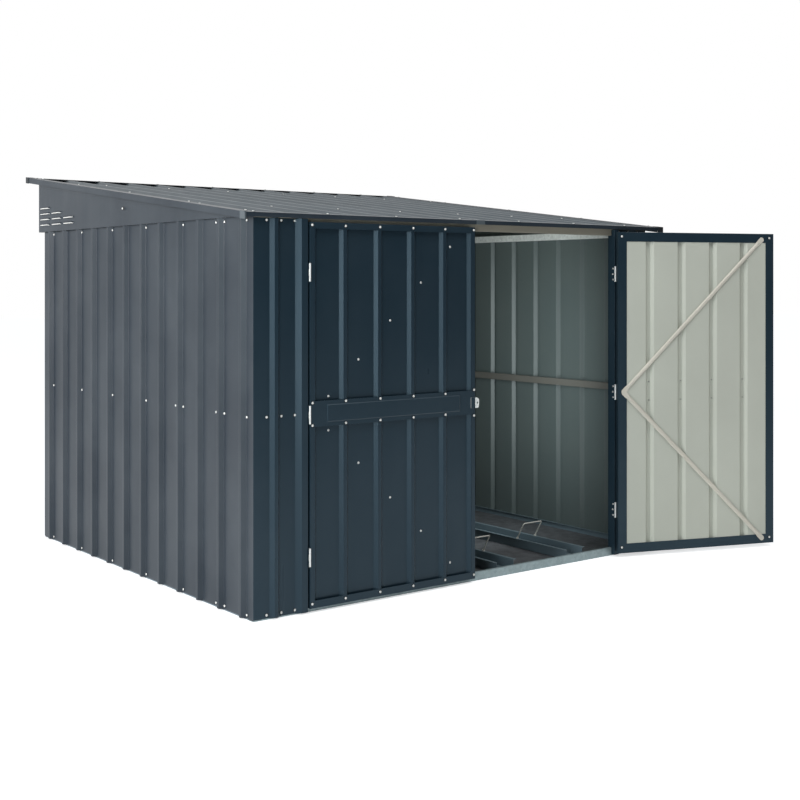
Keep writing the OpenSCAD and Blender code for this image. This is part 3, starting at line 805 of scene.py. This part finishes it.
# A hood is longer than its slot by this much
HOOD_OVERLAP = 4 * MM
# The hoods' cut edges, and the lowest band of each hood above them that is painted as a bright
# highlight, lie between these heights, from the bottom of the slots
CUT_EDGE_AND_HIGHLIGHT_BAND = (-1 * MM, 2.2 * MM)


def louvre_model(length, reach, thickness):
    """A pressed hood: a quarter round with rounded ends, open at the bottom. Its back edge lies on
    x = 0, it stands out towards -x, and its slot is at z = 0."""
    bpy.ops.mesh.primitive_uv_sphere_add(
        segments=16, ring_count=8, radius=reach, rotation=(math.radians(90), 0, 0))
    hood = named("hood")
    set_down(hood)
    edit(hood)
    half = length / 2 - reach
    for way in (-1, 1):
        pick(hood, "verts", lambda v: v.co.y * way > 0.1 * MM)
        bpy.ops.transform.translate(value=(0, way * half, 0))
    for cut_off in ((1, 0, 0), (0, 0, -1)):
        bpy.ops.mesh.select_all(action="SELECT")
        bpy.ops.mesh.bisect(plane_co=(0, 0, 0), plane_no=cut_off, clear_outer=True)
    close_edit()
    apply_modifier(hood, "SOLIDIFY", thickness=thickness, offset=-1)
    smooth(hood, 40)
    return hood


class SHED_OT_gables(bpy.types.Operator):
    """Adds the gable panels, the hoods over their louvres and the panel between them"""
    bl_idname = "shed.gables"
    bl_label = "Gables and louvres"

    def execute(self, context):
        sizes = context.scene.shed_sizes
        levels = {z for _, z, _ in LOUVRES}
        for node, outward in (("left_gable", LEFT), ("right_gable", RIGHT)):
            # The gables' inner side takes the darkened backing, which is painted shade
            fold_nodes([node], "_panel", "wall_coat", finish("wall"), finish("wall_backing"),
                       outward)
            turned = Matrix.Identity(4) if outward is LEFT else MIRRORED
            hoods = rows_of(
                louvre_model(LOUVRE_LENGTH + HOOD_OVERLAP, sizes.louvre_reach, sizes.louvre_sheet),
                node + "_hoods",
                [Matrix.Translation((GABLE_FACE * outward.x, y, z)) @ turned
                 for y, z, _ in LOUVRES])
            # The lower rim is the bare cut edge of the sheet, and the bright zinc on the band above
            # it is a painted highlight
            coat(hoods, finish("wall"), finish("zinc"), lambda face: any(
                CUT_EDGE_AND_HIGHLIGHT_BAND[0] < face.center.z - z < CUT_EDGE_AND_HIGHLIGHT_BAND[1] for z in levels))
            hand_over(hoods, SHED, "wall_coat")
        fold_nodes(["back_upper_panel"], "_sheet", "wall_coat", finish("wall"), finish("backing"),
                   BACK)
        return {"FINISHED"}


# ---- Rails ----

class SHED_OT_rails(bpy.types.Operator):
    """Finishes the rails round the walls, the lintel and the roof beam"""
    bl_idname = "shed.rails"
    bl_label = "Rails and beam"

    def execute(self, context):
        mid = folded_sheet("mid_rails", "mid_rail_strips", finish("mid_rail"))
        hand_over(mid, SHED, "wall_coat", "mid_rails")
        # The lintel's darker coat is painted shade for the gap over the left door
        # The top rails and roof beam take the near-white zinc, which is painted light
        for node, coat_name in (("top_rails", "rail"), ("lintel", "lintel"), ("roof_beam", "rail")):
            fold_nodes([node], "_strip", "rail_galvanised", finish(coat_name))
        return {"FINISHED"}


# ---- Roof ----

class SHED_OT_roof(bpy.types.Operator):
    """Folds the three roof sheets, the trims round them and the cover over their joint"""
    bl_idname = "shed.roof"
    bl_label = "Roof and trims"

    def execute(self, context):
        # The roof sheets and the joint cover take the lightened coat, which paints in the sky's
        # reflection
        fold_nodes(("roof_sheet_left", "roof_sheet_middle", "roof_sheet_right"), "_folded",
                   "roof_coat", finish("roof"), finish("backing"), UP)
        fold_nodes(("roof_trim_left", "roof_trim_right", "roof_trim_back", "roof_trim_front"),
                   "_folded", "trim_coat", finish("wall"))
        fold_nodes(["roof_joint_cover"], "_folded", "trim_coat", finish("roof"))
        return {"FINISHED"}


class SHED_OT_caps(bpy.types.Operator):
    """Moulds the caps over the roof's four corners"""
    bl_idname = "shed.caps"
    bl_label = "Corner caps"

    def execute(self, context):
        def at_front_left(middle):
            return middle.x < 0 and middle.y < 0.5

        sizes = context.scene.shed_sizes
        caps = cad_copy("roof_corner_caps", "moulded_corner_caps")
        # The front left cap turns only just round the corner
        cap_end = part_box("roof_trim_left")[0].x + sizes.left_cap_front
        edit(caps)
        pick(caps, "faces", lambda f: at_front_left(f.calc_center_median()))
        bpy.ops.mesh.bisect(plane_co=(cap_end, 0, 0), plane_no=(1, 0, 0), clear_outer=True,
                            use_fill=True)
        close_edit()
        round_folds(caps, sizes.cap_radius, lambda e: sharper_than(30)(e) and e.is_convex, 3)
        # The front left cap's end takes the roof's lightened coat, with its painted sky reflection
        coat(caps, finish("cap"), finish("roof"), lambda face: at_front_left(face.center))
        hand_over(caps, SHED, "cap_plastic", "roof_corner_caps")
        return {"FINISHED"}


# ---- Wheel racks ----

class SHED_OT_racks(bpy.types.Operator):
    """Finishes the wheel channels and the bent hoops that hold the wheels"""
    bl_idname = "shed.racks"
    bl_label = "Wheel racks"

    def execute(self, context):
        channels = folded_sheet("wheel_channels", "wheel_channel_strips", finish("rack"))
        hand_over(channels, SHED, "rack_coat", "wheel_channels")
        hoops = cad_copy("wheel_hoops", "wheel_hoop_wires")
        smooth(hoops, 45)
        coat(hoops, finish("hoop"))
        hand_over(hoops, SHED, "bright_zinc", "wheel_hoops")
        return {"FINISHED"}


# ---- Doors ----

# The band stops short of its node's end, and has a flat rim round its raised panel
BAND_END_GAP = 18 * MM
BAND_RIM = 16 * MM
# Ends of the raised panel, from the hinges' axis, and the width of the slope round it
BAND_PANEL = (0.081, 0.770)
PANEL_SLOPE = 4 * MM


def for_both_doors(piece, slot, node=None, angle=35):
    """Makes the right door's piece from the left one's, and hands both over. Each stands for the
    node of that name on its own door, where one is given."""
    twin = copied(piece, piece.name.replace("left_", "right_", 1), TO_RIGHT_DOOR)
    smooth(twin, angle)
    for one, body in ((piece, LEFT_DOOR), (twin, RIGHT_DOOR)):
        hand_over(one, body, slot, *([f"{body}_{node}"] if node else []))


def door_point(s, out, z):
    """A point on the left door: s from the hinge axis, out in front of it, z above the ground."""
    return Vector((LEFT_PIVOT.x + s, LEFT_PIVOT.y - out, z))


class SHED_OT_doors(bpy.types.Operator):
    """Folds the doors' frames and sheets and presses the bands across them"""
    bl_idname = "shed.doors"
    bl_label = "Doors"

    def execute(self, context):
        rim = folded_sheet("left_door_frame", "left_door_rim", finish("door"))
        for_both_doors(rim, "door_coat", "frame")
        leaf = folded_sheet("left_door_sheet", "left_door_leaf", finish("door"), finish("backing"),
                            FRONT)
        for_both_doors(leaf, "door_coat", "sheet")
        for_both_doors(pressed_band(context.scene.shed_sizes.band_emboss), "door_coat", "band")
        return {"FINISHED"}


def pressed_band(emboss):
    """The band across a door: a flat strip with a long raised panel, pressed from one sheet."""
    lo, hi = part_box("left_door_band")
    back_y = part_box("left_door_frame")[0].y
    face_y = lo.y + emboss
    x0, x1 = lo.x, hi.x - BAND_END_GAP
    bpy.ops.mesh.primitive_cube_add(
        size=1, location=((x0 + x1) / 2, (back_y + face_y) / 2, (lo.z + hi.z) / 2))
    band = named("left_door_pressed_band")
    band.scale = (x1 - x0, back_y - face_y, hi.z - lo.z)
    set_down(band)
    edit(band)
    pick(band, "faces", lambda f: f.normal.y < -0.9)
    bpy.ops.mesh.inset(thickness=BAND_RIM, use_even_offset=True)
    # The inset's two ends move to the ends of the raised panel
    panel = [LEFT_PIVOT.x + s for s in BAND_PANEL]
    for was, goes in ((x0 + BAND_RIM, panel[0]), (x1 - BAND_RIM, panel[1])):
        pick(band, "verts",
             lambda v: abs(v.co.x - was) < 1 * MM and v.co.y < back_y - 0.5 * MM)
        bpy.ops.transform.translate(value=(goes - was, 0, 0))
    pick(band, "faces", lambda f: f.normal.y < -0.9 and all(
        panel[0] - MM < v.co.x < panel[1] + MM for v in f.verts))
    bpy.ops.mesh.inset(thickness=PANEL_SLOPE, depth=emboss, use_even_offset=True)
    close_edit()
    round_folds(band, 0.5 * MM, sharper_than(25))
    coat(band, finish("door"))
    return band


# ---- Braces ----

# The end that both braces share, their other ends, and their screws' places, from the hinges' axis
# and from the ground
BRACE_START = Vector((0.030, 0.780))
BRACE_TIPS = ((0.790, 1.510), (0.790, 0.043))
BRACE_RUNS = [Vector(tip) - BRACE_START for tip in BRACE_TIPS]
BRACE_SCREWS = (0.100, 0.247, 0.408, 0.570, 0.729)
# A bar goes on past the screw at each of its ends
BRACE_END = 9 * MM
BRACE_SHEET = 1.2 * MM
# The second bar lies on the first one's end
BRACE_LAP = 1.3 * MM
BAR_COLUMNS = 14
# Places of the columns next to a bar's ends: the first two round the end off, to these parts of
# the width, and the flat end stops before the fourth
END_COLUMNS = (0.004, 0.010, 0.034, 0.046)
END_WIDTHS = ((0.0, 0.35), (0.004, 0.78))
FLAT_END = 0.045


def brace_model(length, sizes):
    """A flat bar along +x with rounded flat ends and a middle that is pressed up to a low crown."""
    def middle(v):
        return FLAT_END < v.co.x < length - FLAT_END

    bpy.ops.mesh.primitive_grid_add(x_subdivisions=BAR_COLUMNS, y_subdivisions=4, size=1)
    bar = named("bar")
    bar.scale = (length, sizes.brace_width, 1)
    bar.location = (length / 2, 0, 0)
    set_down(bar)
    edit(bar)
    for column, at in enumerate(END_COLUMNS, 1):
        from_end = column * length / BAR_COLUMNS
        for was, goes in ((from_end, at), (length - from_end, length - at)):
            pick(bar, "verts", lambda v: abs(v.co.x - was) < 0.2 * MM)
            bpy.ops.transform.translate(value=(goes - was, 0, 0))
    for at, width in END_WIDTHS:
        for x in (at, length - at):
            pick(bar, "verts", lambda v: abs(v.co.x - x) < 0.2 * MM)
            bpy.ops.transform.resize(value=(1, width, 1), center_override=(x, 0, 0))
    pick(bar, "verts", middle)
    bpy.ops.transform.resize(value=(1, sizes.brace_neck / sizes.brace_width, 1),
                             center_override=(0, 0, 0))
    pick(bar, "verts", lambda v: middle(v) and abs(v.co.y) < sizes.brace_neck * 0.3)
    bpy.ops.transform.translate(value=(0, 0, sizes.brace_crown))
    close_edit()
    apply_modifier(bar, "SOLIDIFY", thickness=BRACE_SHEET, offset=-1)
    apply_modifier(bar, "BEVEL", width=0.3 * MM, segments=2, limit_method="ANGLE",
                   angle_limit=math.radians(50))
    smooth(bar, 40)
    coat(bar, finish("brace"))
    return bar


class SHED_OT_braces(bpy.types.Operator):
    """Adds the two braces inside each door"""
    bl_idname = "shed.braces"
    bl_label = "Door braces"

    def execute(self, context):
        inner_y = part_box("left_door_braces")[0].y
        bars = []
        for level, run in enumerate(BRACE_RUNS):
            bar = brace_model(run.length + 2 * BRACE_END, context.scene.shed_sizes)
            y = inner_y + BRACE_SHEET + level * BRACE_LAP
            # The bar is modelled facing up; it turns to face the inner side, then along its run
            bar.data.transform(
                Matrix.Translation((LEFT_PIVOT.x + BRACE_START.x, y, BRACE_START.y))
                @ Matrix.Rotation(-math.atan2(run.y, run.x), 4, "Y")
                @ Matrix.Rotation(math.radians(-90), 4, "X")
                @ Matrix.Translation((-BRACE_END, 0, 0))
            )
            bars.append(bar)
        for_both_doors(joined(bars, "left_door_brace_bars"), "brace_coat", "braces")
        return {"FINISHED"}


# ---- Hinges and padlock tabs ----

HINGE_LEVELS = (0.221, 0.780, 1.339)
# A leaf's screws: up from the hinge's middle, and in from the leaf's back edge
LEAF_SCREWS = ((-0.026, 6.5 * MM), (0.0, 4.5 * MM), (0.026, 6.5 * MM))
LEAF_SCREW_TURN = math.radians(40)
# The jamb's leaves lie this far to the left of the hinges' axis
LEAF_OFFSET = 3.5 * MM
# Further behind the axis than this, the leaves are coated with the door and the jamb
COATED_BEHIND = 4.6 * MM
TAB_CHAMFER = 14 * MM
# The tab's plate reaches this far from the axis
PLATE_END = 0.85


def hinge_piece(node, name):
    """A node's hinges, their leaves and round knuckles shaded smooth."""
    piece = cad_copy(node, name)
    smooth(piece, 40)
    coat(piece, finish("zinc"), finish("door"),
         lambda face: face.center.y > LEFT_PIVOT.y + COATED_BEHIND)
    return piece


def flat_screw_model(head):
    """A countersunk screw's head, upright on z = 0, with a cross recess."""
    rim, rise = 0.5 * MM, 0.2 * MM
    screw = screw_blank("flat_screw", head, rim)
    bpy.ops.mesh.inset(thickness=head * 0.16, depth=rise, use_even_offset=True)
    bpy.ops.mesh.inset(thickness=head * 0.1, use_even_offset=True)
    sink_cross(screw, head, rim + rise, 0.5 * MM)
    # The cross recess's floor and walls take the dark rubber, as painted shade in the recess
    coat(screw, finish("zinc"), finish("washer"), lambda face: (
        face.center.xy.length < head * 0.3 and face.center.z < rim and face.normal.z > -0.5))
    smooth(screw, 40)
    return screw


class SHED_OT_hinges(bpy.types.Operator):
    """Adds the hinges, three at each jamb, and the screws in their leaves"""
    bl_idname = "shed.hinges"
    bl_label = "Hinges"

    def execute(self, context):
        jamb = hinge_piece("left_jamb_hinges", "left_jamb_hinge_leaves")
        door = hinge_piece("left_door_hinges", "left_door_hinge_leaves")
        leaf_x = LEFT_PIVOT.x - LEAF_OFFSET + SHEET
        leaf_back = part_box("left_jamb_hinges")[1].y
        screws = rows_of(
            flat_screw_model(context.scene.shed_sizes.hinge_screw), "left_hinge_screws",
            [facing(Vector((leaf_x, leaf_back - inset, level + up)), RIGHT, LEAF_SCREW_TURN * i)
             for level in HINGE_LEVELS for i, (up, inset) in enumerate(LEAF_SCREWS)])
        jamb = joined([jamb, screws], "left_jamb_hinge_leaves")
        right = copied(jamb, "right_jamb_hinge_leaves", MIRRORED)
        smooth(right, 40)
        hand_over(jamb, SHED, "bright_zinc", "left_jamb_hinges")
        hand_over(right, SHED, "bright_zinc", "right_jamb_hinges")
        for_both_doors(door, "bright_zinc", "hinges")
        return {"FINISHED"}


class SHED_OT_hasps(bpy.types.Operator):
    """Adds the padlock tabs at the doors' free edges"""
    bl_idname = "shed.hasps"
    bl_label = "Padlock tabs"

    def execute(self, context):
        hasp = cad_copy("left_door_hasp", "left_door_padlock_tab")
        tab_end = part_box("left_door_hasp")[0].y
        # The tab narrows to a blunt ear round its hole
        edit(hasp)
        pick(hasp, "edges", lambda e: all(abs(v.co.y - tab_end) < 0.1 * MM for v in e.verts)
             and abs(e.verts[0].co.z - e.verts[1].co.z) < 0.1 * MM)
        bpy.ops.mesh.bevel(offset=TAB_CHAMFER, offset_type="OFFSET", segments=3, affect="EDGES")
        close_edit()
        round_folds(hasp, 0.5 * MM, sharper_than(50))
        # The plate is coated like the door; the tab's cut edges and far side are bare
        coat(hasp, finish("zinc"), finish("door"), lambda face: (
            face.normal.y < -0.5 and face.center.x < LEFT_PIVOT.x + PLATE_END))
        for_both_doors(hasp, "bright_zinc", "hasp")
        return {"FINISHED"}


# ---- Door screws ----

# Places from the hinges' axis, and heights from the ground
DOOR_COLUMNS = (0.0123, 0.1725, 0.3445, 0.5165, 0.6885, 0.8487)
EDGE_ROWS = (0.0365, 1.5255)
BAND_ROWS = (0.7379, 0.8262)
BAND_END_ROWS = (0.7245, 0.8355)
# Screws at the inner side's four corners
INNER_COLUMNS = (0.022, 0.832)
INNER_ROWS = (0.0466, 1.517)
# The door sheet's pans lie this far behind the frame's face
PAN_DEPTH = 18.2 * MM


class SHED_OT_door_screws(bpy.types.Operator):
    """Adds the screws of the doors and the tips that show inside"""
    bl_idname = "shed.door_screws"
    bl_label = "Door screws"

    def execute(self, context):
        sizes = context.scene.shed_sizes
        frame_front, frame_back = (corner.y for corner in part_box("left_door_frame"))
        edge_out = LEFT_PIVOT.y - frame_front
        pan_out = edge_out - PAN_DEPTH
        # The band's flat lies behind its raised panel
        band_out = LEFT_PIVOT.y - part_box("left_door_band")[0].y - sizes.band_emboss
        places = []
        for s in DOOR_COLUMNS:
            places += [(door_point(s, edge_out, z), FRONT) for z in EDGE_ROWS]
            if s != DOOR_COLUMNS[-1]:
                places += [(door_point(s, band_out, z), FRONT) for z in BAND_ROWS]
        for run in BRACE_RUNS:
            for s in BRACE_SCREWS:
                z = BRACE_START.y + (s - BRACE_START.x) * run.y / run.x
                places.append((door_point(s, pan_out, z), FRONT))
        places += [(Vector((LEFT_PIVOT.x + s, frame_back, z)), BACK)
                   for s in INNER_COLUMNS for z in INNER_ROWS]
        places += [(door_point(DOOR_COLUMNS[-1], band_out, z), FRONT) for z in BAND_END_ROWS]
        for_both_doors(screws_at("left_door_screws", places), "bright_zinc", angle=40)
        # The band's screws come through the sheet's crests
        crest_y = frame_front + 2 * SHEET + 0.1 * MM
        tips = rows_of(
            tip_model(sizes.tip_length), "left_door_screw_tips",
            [facing(Vector((LEFT_PIVOT.x + s, crest_y, z)), BACK)
             for s in DOOR_COLUMNS[1:-1] for z in BAND_ROWS])
        for_both_doors(tips, "bright_zinc", angle=40)
        return {"FINISHED"}


# ---- Stage ----

FLOOR_SIZE = 80
# How much lighter than it is lit the floor looks
FLOOR_LIFT = 0.57
WORLD_COLOUR = (0.93, 0.97, 1.0, 1.0)
WORLD_LIGHT = 0.5
WHITE = (1.0, 1.0, 1.0, 1.0)
# Soft lights: place, aim, width and height, watts, colour
LIGHTS = {
    "side_softbox": ((-7.5, 1.3, 2.4), (-1.0, 0.8, 0.9), (4.4, 3.4), 280, (1.0, 0.95, 0.95)),
    "corner_softbox": ((-7.5, -1.0, 2.4), (-0.6, -0.2, 0.9), (1.7, 3.4), 170, (0.92, 0.97, 1.0)),
    # The left flanks of the door's ribs mirror this low strip
    "rib_strip": ((-3.62, -2.2, 1.35), (-0.4, 0.0, 1.0), (0.75, 1.9), 34, (0.86, 0.96, 1.0)),
    "top_softbox": ((0.8, -2.6, 6.0), (0.8, 0.3, 0.5), (4.2, 3.6), 122, (1.0, 1.0, 1.0)),
    "inside_fill": ((0.5, 0.30, 0.88), (0.95, 2.2, 0.85), (0.4, 1.0), 7.5, (0.90, 0.98, 1.0)),
}
# Cards that the camera doesn't see, which shade the object or are mirrored in it: place, aim,
# width and height, grey
CARDS = {
    "front_card": ((0.5, -7.2, 2.5), (0.5, 0, 1.5), (15.0, 6.5), 0.07),
    "left_front_card": ((-7.4, -5.6, 2.5), (-1.0, 0, 1.5), (3.4, 6.5), 0.05),
    "right_card": ((9.0, -2.5, 2.5), (0, 0, 1.5), (9.0, 6.5), 0.12),
}
CAMERA_PLACE = (-3.6188, -4.2108, 1.30184)
CAMERA_TURN = -0.6479
CAMERA_LENS = 57.198
CAMERA_SHIFT = (0.0116, -0.14765)


def rays_that_see(tree):
    """A node that is 1 for camera, mirror and glass rays, and 0 for rays that only carry light."""
    rays = add_node(tree, "LightPath", (-800, -200))
    seen = add_node(tree, "Math", (-600, -200), None,
                    {0: (rays, "Is Camera Ray"), 1: (rays, "Is Glossy Ray")}, operation="MAXIMUM")
    return add_node(tree, "Math", (-400, -200), None,
                    {0: (seen, "Value"), 1: (rays, "Is Transmission Ray")}, operation="MAXIMUM")


def painted_floor():
    """Matt painted floor. Camera, mirror and glass rays see it a little lighter, up to white, and
    the object's shadow stays on it."""
    material, tree, shader = new_material(
        "matt_painted_floor", Base_Color=shade(bpy.context.scene.shed_colours.studio, 1.0),
        Roughness=0.9, Specular_IOR_Level=0.0, Emission_Color=WHITE)
    lift = add_node(tree, "Math", (-200, -200), {1: FLOOR_LIFT},
                    {0: (rays_that_see(tree), "Value")}, operation="MULTIPLY")
    add_links(tree, shader, {"Emission Strength": (lift, "Value")})
    return material


def white_surroundings():
    """A world that gives plain light, and is white where it is seen or mirrored."""
    world = bpy.data.worlds.new("studio")
    world.use_nodes = True
    tree = world.node_tree
    tree.nodes.clear()
    light = add_node(tree, "Background", (-400, -350),
                     {"Color": WORLD_COLOUR, "Strength": WORLD_LIGHT})
    white = add_node(tree, "Background", (-400, -500), {"Color": WHITE, "Strength": 1.0})
    both = add_node(tree, "MixShader", (-200, -200), None, {
        0: (rays_that_see(tree), "Value"), 1: (light, "Background"), 2: (white, "Background")})
    add_node(tree, "OutputWorld", (0, -200), None, {"Surface": (both, "Shader")})
    return world


def aimed(place, towards, front):
    """Rotation that turns an object's front at a place towards a point."""
    return (Vector(towards) - Vector(place)).to_track_quat(front, "Y").to_euler()


def add_card(name, place, towards, size, grey):
    """A matt card that the camera doesn't see."""
    bpy.ops.mesh.primitive_plane_add(size=1, location=place)
    card = named(name)
    card.scale = (*size, 1)
    card.rotation_euler = aimed(place, towards, "Z")
    set_down(card)
    cloth, *_ = new_material(
        name + "_cloth", Base_Color=(grey, grey, grey * 1.1, 1), Roughness=0.9)
    card.data.materials.append(cloth)
    card.visible_camera = False


def add_to_scene(name, data, place, rotation):
    """Puts a light or a camera in the scene."""
    thing = bpy.data.objects.new(name, data)
    bpy.context.scene.collection.objects.link(thing)
    thing.location = place
    thing.rotation_euler = rotation
    return thing


def add_soft_light(name, place, towards, size, watts, colour):
    """A softbox that the camera doesn't see."""
    light = bpy.data.lights.new(name, "AREA")
    light.shape = "RECTANGLE"
    light.size, light.size_y = size
    light.energy = watts
    light.color = colour
    lamp = add_to_scene(name, light, place, aimed(place, towards, "-Z"))
    lamp.visible_camera = False


class SHED_OT_stage(bpy.types.Operator):
    """Adds the floor, the white surroundings, the lights, the cards and the camera"""
    bl_idname = "shed.stage"
    bl_label = "Studio"

    def execute(self, context):
        scene = context.scene
        bpy.ops.mesh.primitive_plane_add(size=FLOOR_SIZE, location=(0, 0, 0))
        floor = named("studio_floor")
        floor.data.materials.append(painted_floor())
        scene.world = white_surroundings()
        for name, settings in LIGHTS.items():
            add_soft_light(name, *settings)
        for name, settings in CARDS.items():
            add_card(name, *settings)
        camera = bpy.data.cameras.new("camera")
        camera.lens = CAMERA_LENS
        camera.shift_x, camera.shift_y = CAMERA_SHIFT
        scene.camera = add_to_scene("camera", camera, CAMERA_PLACE, (math.pi / 2, 0, CAMERA_TURN))
        scene.view_settings.view_transform = "Standard"
        return {"FINISHED"}


# ---- Add-on ----

OPERATORS = (
    SHED_OT_base, SHED_OT_walls, SHED_OT_gables, SHED_OT_rails, SHED_OT_roof, SHED_OT_caps,
    SHED_OT_racks, SHED_OT_doors, SHED_OT_braces, SHED_OT_hinges, SHED_OT_hasps,
    SHED_OT_screws, SHED_OT_door_screws, SHED_OT_stage,
)


class SHED_PT_panel(bpy.types.Panel):
    """Lists the shed's pieces, sizes and colours"""
    bl_label = "Bike Shed"
    bl_idname = "SHED_PT_panel"
    bl_space_type = "VIEW_3D"
    bl_region_type = "UI"
    bl_category = "Bike Shed"

    def draw(self, context):
        layout = self.layout
        for group in (context.scene.shed_sizes, context.scene.shed_colours):
            column = layout.column()
            for key in type(group).__annotations__:
                column.prop(group, key)
        for operator in OPERATORS:
            layout.operator(operator.bl_idname)


CLASSES = (ShedSizes, ShedColours, *OPERATORS, SHED_PT_panel)


def register():
    for cls in CLASSES:
        bpy.utils.register_class(cls)
    bpy.types.Scene.shed_sizes = PointerProperty(type=ShedSizes)
    bpy.types.Scene.shed_colours = PointerProperty(type=ShedColours)


def unregister():
    del bpy.types.Scene.shed_colours
    del bpy.types.Scene.shed_sizes
    for cls in reversed(CLASSES):
        bpy.utils.unregister_class(cls)


def main():
    """Builds the shed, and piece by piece."""
    register()
    for operator in OPERATORS:
        group, name = operator.bl_idname.split(".")
        getattr(getattr(bpy.ops, group), name)()


if __name__ == "__main__":
    main()
